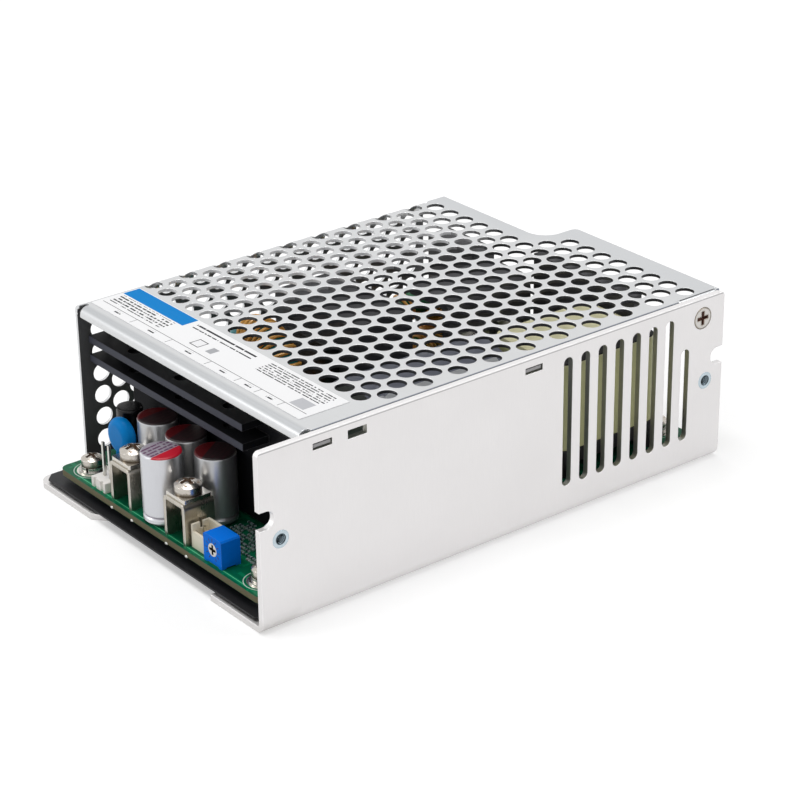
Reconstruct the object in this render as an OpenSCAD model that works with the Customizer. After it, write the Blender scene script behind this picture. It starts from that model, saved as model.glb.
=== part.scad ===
// Enclosed switching power supply: folded chassis, perforated cover, populated board.
// Millimetres, +Z up. The output end faces -Y and the plain near wall stands at +X.
// The origin lies under the middle of the case, on the plane of its base.

/* [Case] */
// Outer width across the two side walls
case_w = 91.5; // [90:0.5:100]
// Outer length from output end to mains end
case_l = 134.5; // [131:0.5:150]
// Outer height from base to cover
case_h = 43; // [42:0.5:50]

/* [Chassis sheet] */
// Thickness of chassis sheet
chassis_t = 1.5; // [1.2:0.1:2]
// Inside radius of chassis folds
chassis_bend_r = 1; // [0.6:0.1:1.5]
// Rounding of upper corners of near wall
wall_corner_r = 1.2; // [0.5:0.1:3]
// Rounding of outer base corners
base_corner_r = 3; // [1:0.5:5]
// Width of front base tab on far side
tab_far_w = 23.2; // [18:0.2:28]
// Width of front base tab on near side
tab_near_w = 19.7; // [16:0.1:24]
// Depth of front recess
recess_depth = 5; // [3:0.5:6]
// Width of slanted end of recess
recess_slant_w = 3; // [1:0.5:5]
// Depth of slanted end of recess
recess_slant_d = 2.4; // [1:0.2:2.8]

/* [Near wall] */
// Width of near wall's end notches
notch_w = 4.3; // [3:0.1:6]
// Depth of open notch at each end
notch_depth = 3.85; // [3:0.05:5]
// Height of notch centre above base
notch_z = 27; // [25:0.5:31]
// Spacing of threaded bushes
bush_spacing = 123.8; // [119:0.2:124]
// Height of bushes above base
bush_z = 21.5; // [18:0.5:22]
// Shank diameter of a bush
bush_shank_d = 4.2; // [4:0.1:5]
// Flange diameter of a bush
bush_flange_d = 6.5; // [6:0.1:7.5]
// Flange thickness of a bush
bush_flange_t = 1.5; // [1:0.1:2]
// Core diameter of bush thread
bush_thread_d = 2.5; // [2:0.1:3]
// Number of vent slots
vent_count = 8; // [4:1:9]
// Spacing of vent slots
vent_pitch = 5.24; // [4.5:0.02:5.6]
// Width of vent slot
vent_w = 2.7; // [2:0.1:3.2]
// Lower end of slots above base
vent_low = 7.8; // [6:0.1:10]
// Top edge to other slots
vent_top = 2.95; // [2.5:0.05:6]
// Top edge to slot under screw ear
vent_short_top = 11.6; // [11:0.1:16]
// Rear edge to last slot
vent_rear = 12.2; // [11.6:0.1:14]

/* [Cover sheet] */
// Thickness of cover sheet
cover_t = 0.8; // [0.7:0.1:1]
// Inside radius of cover folds
cover_bend_r = 1; // [0.6:0.1:1.5]
// Gap between the cover edges and chassis
cover_gap = 0.3; // [0.1:0.05:0.5]
// Setback of front lip from case front
lip_setback = 12.7; // [12:0.1:14]
// Height of front lip
lip_h = 2.4; // [2.3:0.1:3]
// Relief gap at each end of lip
lip_relief = 1.25; // [0.8:0.05:2]
// Depth of relief behind the lip fold
lip_relief_d = 1; // [0.5:0.1:2]
// Case front to far wall
far_front = 13.25; // [13:0.05:16]
// Case rear to far wall
far_rear = 17.65; // [15:0.05:20]
// Rounding of far wall's lower corners
far_corner_r = 2; // [1:0.5:4]
// Depth of rear cut-out
cut_depth = 10.85; // [9:0.05:13]
// Width of rear cut-out from far side
cut_w = 39.35; // [36:0.05:42]
// Fillet in inner corner of cut-out
cut_fillet = 5.5; // [2:0.5:7]
// Rounding beside the cut-out
cut_corner_r = 1.5; // [0.5:0.5:3]
// Overhang behind the far wall
cut_overhang = 0.8; // [0.4:0.1:1.5]

/* [Cover fixing] */
// Front edge to first locating tab
tab_1_in = 16.8; // [15.8:0.1:19]
// Front edge to spare slot
spare_in = 26; // [24:0.1:30]
// Front edge to second locating tab
tab_2_in = 75.4; // [60:0.1:80]
// Width of locating tab
tab_w = 4.5; // [3.5:0.1:6]
// Side clearance of a locating tab
tab_gap = 0.3; // [0.2:0.05:0.6]
// Height clearance of a locating tab
tab_gap_z = 0.4; // [0.2:0.05:0.5]
// Case top to locating tab
tab_drop = 2.5; // [2.4:0.1:3.2]
// Tab tip to outer wall face
tab_sink = 0.3; // [0.1:0.05:0.6]
// Extra height of spare slot
spare_extra = 0.5; // [0:0.1:1]
// Width of cover's screw ear
ear_w = 12.4; // [11:0.1:13]
// Height of screw ear
ear_h = 10.2; // [9:0.1:11]
// Rear edge to cover screw
screw_in = 6.85; // [6.6:0.05:8]
// Top of case to cover screw
screw_drop = 5.1; // [5:0.1:6]
// Gap between fixing ears and walls
ear_gap = 0.1; // [0.05:0.05:0.3]
// Thread of cover screws
cover_screw_d = 3; // [2.5:0.1:3.2]
// Head width of cover screws
cover_head_d = 5.5; // [5:0.1:6]
// Length of near cover screw
cover_screw_l = 6; // [5:0.5:8]
// Length of far cover screws
far_screw_l = 4; // [3.5:0.5:5]
// Height of far cover screws above base
far_screw_z = 9; // [8:0.5:11]
// Case front to first far screw
far_screw_1 = 42.2; // [38:0.1:46]
// Case rear to second far screw
far_screw_2 = 32.2; // [28:0.1:36]
// Width of chassis ear
chassis_ear_w = 10; // [8:0.5:12]
// Height of chassis ear
chassis_ear_h = 13.5; // [12:0.5:16]
// Width of relief cuts beside an ear
ear_relief = 1; // [0.6:0.1:1.5]

/* [Perforation] */
// Diameter of perforation
perf_d = 4.5; // [3.5:0.1:5]
// Spacing of perforations
perf_pitch = 5.74; // [5.7:0.02:7]
// Spacing of rows
perf_row = 4.92; // [4.8:0.02:6]
// Case near face to first perforation
perf_near = 5.75; // [5.6:0.05:8]
// Label to edge of first row
perf_label_gap = 1.5; // [0.6:0.05:3]
// Sheet left behind rearmost perforations
perf_rear_gap = 4; // [3.5:0.1:6]
// Sheet left beside the cut-out
perf_cut_gap = 0.8; // [0.5:0.1:3]
// Sheet left at ends of far wall
perf_wall_gap = 1.5; // [1:0.1:3]
// Sheet left at foot of far wall
perf_foot_gap = 2.5; // [2:0.1:4]
// Sheet left round a far screw
perf_screw_gap = 0.8; // [0.5:0.1:2]

/* [Label and film] */
// Length of label across the cover
label_l = 81.7; // [60:0.1:84]
// Width of label along the cover
label_w = 13.4; // [8:0.2:13.6]
// Thickness of label
label_t = 0.1; // [0.05:0.05:0.3]
// Gap from far fold to label
label_far_gap = 0.3; // [0.2:0.1:2]
// Gap from lip fold to label
label_front_gap = 1.95; // [0.5:0.05:3]
// Thickness of insulation film
film_t = 0.4; // [0.2:0.1:0.6]
// Setback of film from case front
film_front = 0.75; // [0.5:0.05:2]
// Setback of film from case rear
film_rear = 2; // [1:0.5:3]
// Setback of film from far face of case
film_far = 1.5; // [1.4:0.1:3]
// Setback of film from near face of case
film_near = 2.3; // [2.1:0.1:4]
// Gap of film round standoffs and ears
film_gap = 0.3; // [0.2:0.1:0.6]
// Corner cut of film
film_corner = 2; // [1:0.5:4]

/* [Board] */
// Thickness of circuit board
board_t = 1.6; // [1.2:0.2:2]
// Setback of board from case front
board_front_in = 2.95; // [2.5:0.05:4]
// Setback of board from case rear
board_rear_in = 4.55; // [4:0.05:6]
// Setback of board from each side of case
board_side_in = 5.15; // [4.6:0.05:5.6]
// Corner radius of board
board_corner_r = 2; // [1:0.5:3]
// Board sides to fixing holes
fix_side = 6.2; // [5:0.1:6.6]
// Board ends to fixing holes
fix_end = 5.4; // [5:0.1:6]
// Diameter of fixing holes
fix_d = 3.4; // [3.2:0.1:4]
// Height of standoff above base
standoff_h = 2.5; // [2.2:0.1:3.5]
// Diameter of standoff
standoff_d = 5.5; // [5:0.1:6]
// Diameter of standoff's collar
collar_d = 8; // [7:0.5:9]
// Thickness of standoff's collar
collar_t = 0.5; // [0.3:0.1:0.8]
// Shank diameter of a standoff
standoff_shank_d = 4.2; // [3.8:0.1:4.6]
// Depth of blind thread in a standoff
standoff_thread_l = 3.2; // [2.8:0.1:3.4]
// Length that leads reach below the board
lead_tail = 1; // [0.6:0.1:1.2]
// Diameter of thin lead
lead_d = 0.6; // [0.5:0.1:0.8]
// Diameter of thick lead
pin_d = 1; // [0.8:0.1:1.2]
// Gap of a lead in its board hole
lead_gap = 0.15; // [0.1:0.05:0.3]

/* [Board screws] */
// Thread of board screws
board_screw_d = 3; // [2.5:0.1:3.1]
// Head width of board screws
board_head_d = 5.2; // [4.6:0.1:6]
// Head height of board screws
board_head_h = 2.6; // [1.6:0.1:3]
// Outer diameter of flat washers
flat_washer_d = 6.6; // [6:0.1:7.4]
// Thickness of flat washers
flat_washer_t = 0.5; // [0.3:0.1:0.8]
// Outer diameter of spring washers
spring_washer_d = 5.4; // [5:0.1:6]
// Thickness of spring washers
spring_washer_t = 0.9; // [0.6:0.1:1.2]
// Width of split in a spring washer
spring_split = 0.6; // [0.3:0.1:1]
// Radial gap of a screw in its hole
screw_gap = 0.05; // [0.03:0.01:0.1]

/* [Output terminals] */
// Spacing of terminals
terminal_pitch = 22.1; // [20.8:0.1:23]
// Share of spare width at the row's far end
row_share = 0.37; // [0.2:0.01:0.6]
// Width of terminal
terminal_w = 8.3; // [7.5:0.1:8.8]
// Depth of a terminal
terminal_d = 8.1; // [7:0.1:9]
// Height of terminal above board
terminal_h = 10; // [8:0.1:12]
// Sheet thickness of a terminal
terminal_t = 0.9; // [0.7:0.1:1.2]
// Outer fold radius of a terminal
terminal_r = 1.2; // [1:0.1:2]
// Board front to terminals
terminal_in = 0.9; // [0.4:0.1:1.5]
// Width of solder tab of a terminal
terminal_tab_w = 1.2; // [0.8:0.1:1.6]
// Thread of terminal screws
terminal_screw_d = 3.5; // [3:0.1:4]
// Length of terminal screws under head
terminal_screw_l = 6; // [4:0.5:7]
// Head width of terminal screws
terminal_head_d = 6.3; // [5.6:0.1:7]
// Head height of terminal screws
terminal_head_h = 2.9; // [2:0.1:3.2]
// Side of square washers
square_washer_w = 7.4; // [6.6:0.1:7.8]
// Thickness of square washers
square_washer_t = 1; // [0.6:0.1:1.4]

/* [Front parts] */
// Diameter of output cans
cap_d = 9.6; // [8:0.1:10]
// Height of output cans above board
cap_h = 17.4; // [12:0.2:19]
// Lead spacing of output cans
cap_lead = 5; // [3.5:0.5:5]
// Board front to front capacitor
cap_front_in = 4.8; // [4.6:0.1:5]
// Gap from front capacitor to near terminal
cap_front_gap = 1.15; // [0.6:0.05:1.4]
// Gap from terminals to capacitor row
cap_row_gap = 0.2; // [0.1:0.1:0.6]
// First capacitor of row to the front one
cap_row_shift = 15.3; // [15:0.1:16]
// Spacing of capacitors in row
cap_row_pitch = 11.6; // [10.6:0.1:12]
// Height of crimp groove
groove_z = 2.2; // [1.6:0.1:3]
// Depth of crimp groove
groove_depth = 0.45; // [0.2:0.05:0.7]
// Edge break of capacitors
can_edge = 0.5; // [0.2:0.1:1]
// Height of rubber foot under a can
can_foot = 0.4; // [0.2:0.1:0.8]
// Diameter of standby can
standby_d = 6.3; // [5:0.1:6.5]
// Height of standby can
standby_h = 15.4; // [10:0.2:17]
// Disc to standby can across case
standby_gap = 5.3; // [4.8:0.1:6]
// Board front to standby can
standby_in = 14.1; // [13:0.1:14.6]
// Diameter of disc capacitor
disc_d = 9; // [7:0.5:9.5]
// Thickness of disc capacitor
disc_t = 3.6; // [3:0.1:3.8]
// Height of disc centre above board
disc_z = 11.4; // [8:0.1:12]
// Disc capacitor to the row across case
disc_gap = 6.9; // [6.7:0.1:7.6]
// Board front to disc capacitor
disc_in = 8.4; // [8.2:0.1:8.6]
// Lead spacing of disc capacitor
disc_lead = 5; // [4:0.5:6]

/* [Connectors] */
// Side of a square connector pin
square_pin = 0.64; // [0.5:0.02:0.8]
// Gap of a square pin in its housing
pin_gap = 0.05; // [0.03:0.01:0.1]
// Spacing of connector pins
pin_pitch = 2.54; // [2:0.02:2.6]
// Gap from header to far terminal
header_gap = 2.65; // [1:0.05:3]
// Width of header
header_w = 5.8; // [5.2:0.1:6.2]
// Depth of header
header_d = 5.4; // [4:0.1:5.6]
// Height of header
header_h = 2.5; // [2:0.1:3.5]
// Board front to header
header_in = 0.9; // [0.4:0.1:1.4]
// Height of header pins above board
header_pin_h = 11; // [8:0.5:12]
// Width of notches in header's front
header_notch = 1; // [0.6:0.1:1.3]
// Gap from connector to near terminal
signal_gap = 0.65; // [0.3:0.05:1]
// Width of connector
signal_w = 5.8; // [5.4:0.1:6]
// Depth of connector
signal_d = 5; // [4.4:0.1:5.4]
// Height of connector
signal_h = 5.7; // [5:0.1:7]
// Wall of connector
signal_wall = 0.6; // [0.5:0.1:0.8]
// Floor of connector
signal_floor = 1.6; // [1.2:0.1:2]
// Width of key slots in connector
signal_slot = 0.8; // [0.6:0.1:1.1]
// Height of connector's front wall
signal_low = 4; // [3:0.1:4.6]
// Board front to connector
signal_in = 2.1; // [1:0.1:2.5]
// Height of pins in connector
signal_pin_h = 5; // [4:0.1:6]

/* [Trimmer] */
// Gap from trimmer to connector
trimmer_gap = 0.7; // [0.3:0.1:2]
// Width of trimmer
trimmer_w = 6.8; // [6:0.1:7.2]
// Depth of trimmer
trimmer_d = 5.1; // [4.5:0.1:6]
// Height of trimmer
trimmer_h = 6.9; // [6:0.1:8]
// Board front to trimmer
trimmer_in = 0.9; // [0.4:0.1:1.5]
// Height of rotor axis above board
rotor_z = 3.7; // [3.3:0.1:4]
// Diameter of rotor
rotor_d = 3.1; // [2.6:0.1:4]
// Depth of rotor
rotor_l = 1.8; // [1.2:0.1:2.4]
// Radial clearance of rotor
rotor_gap = 0.05; // [0.02:0.01:0.08]
// End clearance behind the rotor
rotor_end_gap = 0.1; // [0.05:0.05:0.2]
// Width of driver slots in rotor
rotor_slot = 0.7; // [0.5:0.1:0.9]
// Depth of driver slots in rotor
rotor_slot_d = 0.8; // [0.5:0.1:1.1]
// Edge break of trimmer
trimmer_edge = 0.4; // [0.2:0.1:0.8]
// Height of feet under trimmer
trimmer_foot = 0.3; // [0.2:0.1:0.5]

/* [Output heatsink] */
// Plate of output heatsink
sink_t = 3; // [2.5:0.1:3]
// Gap from capacitor row to heatsink plate
sink_gap = 0.7; // [0.4:0.1:1.5]
// Overhang of heatsink past the board
sink_over = 3.4; // [2:0.1:3.6]
// Length of heatsink plate
sink_l = 74; // [68:0.5:76]
// Height of heatsink's plain end
sink_h = 26.4; // [24:0.1:27]
// Part of plate cut off under fins
sink_cut = 7; // [4:0.5:8]
// Length of finned part
fin_l = 62.2; // [56:0.1:64]
// Reach of fins
fin_reach = 7.1; // [6:0.1:8]
// Fin thickness
fin_t = 1.75; // [1.4:0.05:2.2]
// Top of upper fin above board
fin_high = 29.2; // [27:0.1:30]
// Top of lower fin above board
fin_low = 24.4; // [22.5:0.1:25]
// Diameter of holes in fins
fin_hole_d = 3.4; // [2.5:0.1:4]
// Plate to holes in fins
fin_hole_in = 3.5; // [3:0.1:4]
// Heatsink end to first rectifier
rect_first = 14.4; // [13:0.1:16]
// Spacing of rectifiers
rect_pitch = 19.1; // [16:0.1:20]
// Number of output rectifiers
rect_count = 3; // [2:1:3]
// Height of gap under heatsinks
sink_foot = 1; // [0.6:0.1:1.5]
// Diameter of heatsink foot
sink_foot_d = 3; // [2.6:0.1:4]
// Diameter of heatsink pin
sink_pin_d = 1.6; // [1.2:0.1:2]

/* [Power packages] */
// Width of power package
pack_w = 10.2; // [9.6:0.1:10.6]
// Height of moulded body
pack_body_h = 9.2; // [8.4:0.1:10]
// Height of metal tab
pack_tab_h = 15.7; // [15:0.1:16.4]
// Thickness of moulded body
pack_t = 4.5; // [4:0.1:5]
// Thickness of metal tab
pack_tab_t = 1.3; // [1:0.1:1.6]
// Height of tab's hole
pack_hole_z = 12.6; // [12.2:0.1:13]
// Spacing of package leads
pack_pitch = 2.54; // [2.3:0.02:2.8]
// Height of package above board
pack_lift = 6; // [4:0.5:8]
// Mounting face to leads
pack_lead_y = 2.6; // [2.2:0.1:3]
// Thread of package screws
pack_screw_d = 3; // [2.5:0.1:3.1]
// Head width of package screws
pack_head_d = 5.4; // [4.8:0.1:5.8]
// Head height of package screws
pack_head_h = 2; // [1.5:0.1:2.5]

/* [Output choke] */
// Ring radius of output choke
choke_ring = 9; // [8:0.1:9]
// Core radius of output choke
choke_core = 4; // [3.5:0.1:4.2]
// Thickness of winding on output choke
choke_wire = 1.4; // [1:0.1:1.6]
// Gap between a ring core and its winding
wind_gap = 0.05; // [0.03:0.01:0.1]
// Angle that the winding leaves bare
choke_bare = 70; // [40:5:100]
// Board side to choke axis
choke_far = 14.4; // [13.6:0.1:15]
// Share of free length in front of choke
choke_share = 0.84; // [0.4:0.01:0.9]
// Length of choke base
choke_base_l = 22; // [18:0.5:24]
// Depth of choke base
choke_base_d = 7; // [5:0.5:8]
// Height of choke base
choke_base_h = 3.4; // [2.6:0.1:4]
// Floor of choke base under ring
choke_floor = 1.2; // [0.8:0.1:2]
// Diameter of choke leads
choke_lead_d = 1.2; // [0.8:0.1:1.4]
// Offset of choke leads from choke axis
choke_lead_x = 7; // [6:0.1:7.6]

/* [Transformer] */
// Core length across case
core_l = 31; // [28:0.5:32]
// Core depth along case
core_d = 18; // [15:0.5:19]
// Core height of transformer
core_h = 28.5; // [24:0.5:29]
// Thickness of core's yokes and side legs
core_leg = 5.5; // [4.5:0.1:6]
// Width of core's middle leg
core_mid = 10; // [8:0.5:11]
// Height of core above board
core_lift = 1.6; // [1:0.1:2.4]
// Wall of bobbin
bobbin_t = 0.8; // [0.6:0.1:1]
// Gap between core, bobbin and winding
bobbin_gap = 0.1; // [0.05:0.05:0.15]
// Thickness of winding at open sides
winding_t = 2.6; // [2:0.1:2.8]
// Corner radius of winding
winding_r = 2; // [1:0.1:2.4]
// Width of pin rail of bobbin
rail_w = 3; // [2:0.1:3.4]
// Spacing of bobbin pins
rail_pitch = 5; // [4:0.5:6]
// Number of pins on a rail
rail_pins = 4; // [2:1:5]
// Board side to transformer axis
trafo_far = 19; // [18:0.1:19.6]
// Gap from transformer to line choke
trafo_gap = 4.35; // [3:0.05:6]

/* [Bulk capacitor] */
// Diameter of bulk capacitor
bulk_d = 28; // [24:0.5:29]
// Length of bulk capacitor
bulk_l = 40; // [35:0.5:42]
// Gap from transformer to bulk capacitor
bulk_far_gap = 7.1; // [6:0.1:8]
// Gap from bulk capacitor to taped choke
bulk_rear_gap = 1.1; // [0.6:0.1:4]
// Gap from bulk capacitor to board
bulk_gap = 0.2; // [0.1:0.05:0.3]
// Spacing of bulk can's leads
bulk_lead = 10; // [8:0.5:11]
// Reach of bulk can's leads
bulk_reach = 2.5; // [2:0.1:3]
// Lead end to groove
bulk_groove = 4; // [3:0.1:5]

/* [Line side] */
// Gap from surge parts to taped choke
pfc_far_gap = 5.8; // [5:0.1:8]
// Depth of taped choke along case
pfc_d = 30; // [26:0.5:31]
// Height of taped block
pfc_h = 22; // [18:0.5:24]
// Height of choke's black base
pfc_base_h = 6.9; // [5:0.1:8]
// Corner radius of taped block
pfc_r = 3; // [1:0.5:5]
// Rim of black base round the block
pfc_rim = 0.3; // [0.1:0.1:0.6]
// Depth of channel through the black base
pfc_channel = 3.5; // [2:0.1:4]
// Near board side to taped choke
pfc_near = 0.8; // [0.6:0.1:2]
// Board rear to taped choke
pfc_rear = 10.6; // [10.2:0.1:12]
// Ring radius of line choke
line_ring = 7; // [6.5:0.1:7.2]
// Core radius of line choke
line_core = 3; // [2.6:0.1:3.2]
// Thickness of windings on line choke
line_wire = 1.1; // [0.8:0.1:1.3]
// Angle between line choke's windings
line_bare = 36; // [20:2:60]
// Board side to line choke axis
line_far = 11; // [10:0.1:13]
// Board rear to line choke axis
line_rear = 28.6; // [28.2:0.1:29]
// Length of line choke's base
line_base_l = 17; // [14:0.5:18]
// Depth of line choke's base
line_base_d = 5; // [4:0.5:5.5]
// Height of line choke's base
line_base_h = 3; // [2.4:0.1:3.6]
// Thickness of bent heatsink sheets
plate_t = 2.5; // [2:0.1:2.5]
// Length of primary heatsink
primary_l = 26; // [24:0.5:27]
// Height of primary heatsink above board
primary_h = 30.4; // [28:0.1:31]
// Reach of primary heatsink's top flange
primary_reach = 15; // [12:0.5:16]
// Inside fold radius of primary heatsink
primary_bend_r = 1; // [0.5:0.1:2]
// Board rear to primary heatsink
primary_rear = 13; // [12.5:0.1:14]
// Board side to primary heatsink's face
primary_far = 37.6; // [37:0.1:38.4]
// Spacing of primary transistors
primary_pitch = 13; // [11.5:0.1:14]
// Gap from inlet to bridge heatsink
bridge_inlet_gap = 4.6; // [2:0.1:6]
// Height of bridge heatsink above board
bridge_sink_h = 33.4; // [26:0.1:34]
// Board rear to bridge heatsink
bridge_rear = 5.2; // [5:0.1:5.6]
// Gap from bridge heatsink to near washer
bridge_fix_gap = 3.1; // [1:0.1:5]
// Width of bridge rectifier
bridge_w = 21; // [18:0.5:23]
// Height of bridge rectifier
bridge_h = 17; // [15:0.5:19]
// Thickness of bridge rectifier
bridge_t = 3.4; // [3:0.1:3.6]
// Corner cut of bridge rectifier
bridge_cut = 3; // [2:0.5:4]
// Lead spacing of bridge rectifier
bridge_pitch = 5; // [4:0.1:5.4]

/* [Mains inlet] */
// Length of line capacitor
xcap_l = 18; // [15:0.5:18.5]
// Thickness of line capacitor
xcap_t = 7.2; // [5:0.1:7.4]
// Height of line capacitor
xcap_h = 31.5; // [10:0.5:32]
// Board side to line capacitor
xcap_far = 2; // [1:0.1:2.4]
// Board rear to line capacitor
xcap_rear = 9.6; // [9.4:0.1:9.8]
// Lead spacing of line capacitor
xcap_lead = 14; // [10:0.5:15]
// Diameter of fuse
fuse_d = 8.4; // [7:0.1:8.6]
// Height of fuse
fuse_h = 8; // [6:0.5:10]
// Board side to fuse
fuse_far = 27.5; // [26.5:0.1:28.5]
// Board rear to fuse
fuse_rear = 16; // [15.2:0.1:17]
// Diameter of surge parts
surge_d = 10; // [8:0.5:10.5]
// Thickness of surge parts
surge_t = 4; // [3:0.1:4.5]
// Height of surge parts' centres
surge_z = 8; // [6.5:0.1:10]
// Gap from primary transistors to surge parts
surge_gap = 3.5; // [2.6:0.1:4]
// Board rear to thermistor
thermistor_rear = 14.4; // [13:0.1:15.4]
// Board rear to varistor
varistor_rear = 33; // [28:0.1:34]
// Board side to inlet
inlet_far = 11; // [10.6:0.1:12]
// Width of inlet
inlet_w = 17; // [15:0.5:18]
// Depth of inlet's foot
inlet_d = 8; // [6:0.5:8.4]
// Height of inlet's foot
inlet_foot = 3; // [2:0.1:4]
// Height of inlet's back wall
inlet_h = 9; // [7:0.5:11]
// Thickness of inlet's back wall
inlet_wall = 1.2; // [1:0.1:1.6]
// Board rear to inlet
inlet_in = 0.8; // [0.4:0.1:1.2]
// Side of an inlet pin
inlet_pin = 1.14; // [0.9:0.02:1.3]
// Spacing of inlet pins
inlet_pitch = 5; // [4:0.1:5.6]
// Number of inlet pins
inlet_pins = 3; // [2:1:3]
// Height of inlet pins above board
inlet_pin_h = 10; // [8:0.5:12]

/* [Chip parts] */
// Length of chip part
chip_l = 2; // [1.6:0.1:2.6]
// Width of chip part
chip_w = 1.25; // [0.8:0.05:1.6]
// Height of chip part
chip_h = 0.7; // [0.4:0.1:1]
// Spacing of chip parts across the board
chip_pitch_x = 3.4; // [3:0.1:3.6]
// Spacing of chip rows
chip_pitch_y = 2.6; // [2:0.1:3]
// Number of chip parts in a row
chip_count = 4; // [2:1:4]
// Number of chip rows
chip_rows = 4; // [2:1:4]
// Near board side to first chip part
chip_near = 4; // [3:0.1:5]
// Board front to first chip row
chip_in = 10.4; // [10.2:0.1:11]

/* [Hidden] */
$fn = 40;
eps = 0.01;

// Faces of case
near_x = case_w / 2;
far_x = -case_w / 2;
front_y = -case_l / 2;
rear_y = case_l / 2;

// Chassis folds
chassis_ro = chassis_bend_r + chassis_t;
wall_in_x = near_x - chassis_t;
notch_y = rear_y - notch_depth + notch_w / 2;

// Cover folds and edges
cover_ro = cover_bend_r + cover_t;
cover_mid_r = cover_bend_r + cover_t / 2;
fold_z = case_h - cover_ro;
under_z = case_h - cover_t;
fold_x = far_x + cover_ro;
fold_arc = cover_mid_r * PI / 2;
cover_near_x = wall_in_x - cover_gap;
lip_y = front_y + lip_setback;
lip_fold_y = lip_y + cover_ro;
far_front_y = front_y + far_front;
far_rear_y = rear_y - far_rear;
far_low_z = chassis_t + cover_gap;
cut_y = rear_y - cut_depth;
cut_x = far_x + cut_w;
cover_ear_x = wall_in_x - ear_gap;
screw_y = rear_y - screw_in;
screw_z = case_h - screw_drop;
tab_ys = [front_y + tab_1_in, front_y + tab_2_in];
spare_y = front_y + spare_in;
tab_top_z = case_h - tab_drop;

// Ears and screws of far wall
far_wall_in_x = far_x + cover_t;
chassis_ear_x = far_wall_in_x + ear_gap;
far_screw_ys = [front_y + far_screw_1, rear_y - far_screw_2];

// Label
label_far_x = fold_x + label_far_gap;
label_front_y = lip_fold_y + label_front_gap;
label_rear_y = label_front_y + label_w;

// Perforation, laid out on the flat sheet
perf_r = perf_d / 2;
perf_first_y = label_rear_y + perf_label_gap + perf_r;
perf_near_x = near_x - perf_near;
perf_lead_rows = ceil((perf_first_y - far_front_y) / perf_row);
perf_rows = ceil((rear_y - perf_first_y) / perf_row);
perf_cols = ceil((case_w + case_h) / perf_pitch);

// Board and the parts that seat on it
board_z = chassis_t + standoff_h;
top_z = board_z + board_t;
tail_z = board_z - lead_tail;
board_front = front_y + board_front_in;
board_rear = rear_y - board_rear_in;
board_far = far_x + board_side_in;
board_near = near_x - board_side_in;
film_z = chassis_t + collar_t;
fix_points = [
  for (x = [board_far + fix_side, board_near - fix_side])
    for (y = [board_front + fix_end, board_rear - fix_end]) [x, y]
];
board_head_z = top_z + flat_washer_t + spring_washer_t;

// Row of connectors between the front screws
fix_reach = fix_side + flat_washer_d / 2;
row_l = header_w + header_gap + terminal_pitch + terminal_w + signal_gap + signal_w + trimmer_gap + trimmer_w;
row_far_x = board_far + fix_reach + row_share * (board_near - board_far - 2 * fix_reach - row_l);

// Output terminals
terminal_far_x = row_far_x + header_w + header_gap + terminal_w / 2;
terminal_near_x = terminal_far_x + terminal_pitch;
terminal_y = board_front + terminal_in + terminal_d / 2;
terminal_top_z = top_z + terminal_h;
terminal_xs = [terminal_far_x, terminal_near_x];
terminal_head_z = terminal_top_z + square_washer_t;

// Capacitors at the front
cap_row_y = terminal_y + terminal_d / 2 + cap_row_gap + cap_d / 2;
cap_front_x = terminal_near_x - terminal_w / 2 - cap_front_gap - cap_d / 2;
cap_row_x = cap_front_x - cap_row_shift;
cap_spots = [
  [cap_front_x, board_front + cap_front_in],
  [cap_row_x, cap_row_y],
  [cap_row_x + cap_row_pitch, cap_row_y],
  [cap_row_x + 2 * cap_row_pitch, cap_row_y]
];
disc_spot = [cap_row_x - disc_gap, board_front + disc_in];
standby_spot = [disc_spot[0] - standby_gap, board_front + standby_in];

// Connectors and trimmer
header_x = row_far_x + header_w / 2;
header_y = board_front + header_in + header_d / 2;
signal_x = terminal_near_x + terminal_w / 2 + signal_gap + signal_w / 2;
signal_y = board_front + signal_in + signal_d / 2;
trimmer_x = signal_x + signal_w / 2 + trimmer_gap + trimmer_w / 2;
trimmer_front = board_front + trimmer_in;
trimmer_y = trimmer_front + trimmer_d / 2;
rotor_axis_z = top_z + rotor_z;

// Output heatsink and rectifiers
sink_front = cap_row_y + cap_d / 2 + sink_gap;
sink_back = sink_front + sink_t;
sink_far_x = board_far - sink_over;
rect_xs = [for (i = [0 : rect_count - 1]) sink_far_x + rect_first + i * rect_pitch];
pack_z = top_z + pack_lift;
sink_foot_xs = [for (x = [sink_cut + sink_foot_d, sink_l / 2, sink_l - sink_foot_d]) sink_far_x + x];

// Line choke
line_x = board_far + line_far;
line_y = board_rear - line_rear;
line_tube = line_core + wind_gap + line_wire;
line_z = top_z + choke_floor + line_ring + line_tube;
line_lead_x = line_core + wind_gap + line_wire / 2;

// Transformer
trafo_x = board_far + trafo_far;
core_z = top_z + core_lift;
window_h = core_h - 2 * core_leg;
tube_l = core_mid + 2 * (bobbin_gap + bobbin_t);
tube_d = core_d + 2 * (bobbin_gap + bobbin_t);
winding_in_l = tube_l + 2 * bobbin_gap;
winding_in_d = tube_d + 2 * bobbin_gap;
winding_l = core_l - 2 * core_leg - 2 * bobbin_gap;
winding_d = winding_in_d + 2 * winding_t;
rail_y = core_d / 2 + bobbin_gap + rail_w / 2;
trafo_y = line_y - line_ring - line_tube - trafo_gap - winding_d / 2;

// Output choke
choke_x = board_far + choke_far;
choke_tube = choke_core + wind_gap + choke_wire;
choke_z = top_z + choke_floor + choke_ring + choke_tube;
choke_lead_y = choke_core + wind_gap + choke_wire / 2;
choke_free = trafo_y - winding_d / 2 - sink_back - pack_t - 2 * choke_tube;
choke_y = sink_back + pack_t + choke_share * choke_free + choke_tube;

// Bulk capacitor
bulk_r = bulk_d / 2;
bulk_x = trafo_x + core_l / 2 + bulk_far_gap + bulk_r;
bulk_z = top_z + bulk_gap + bulk_r;

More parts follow.
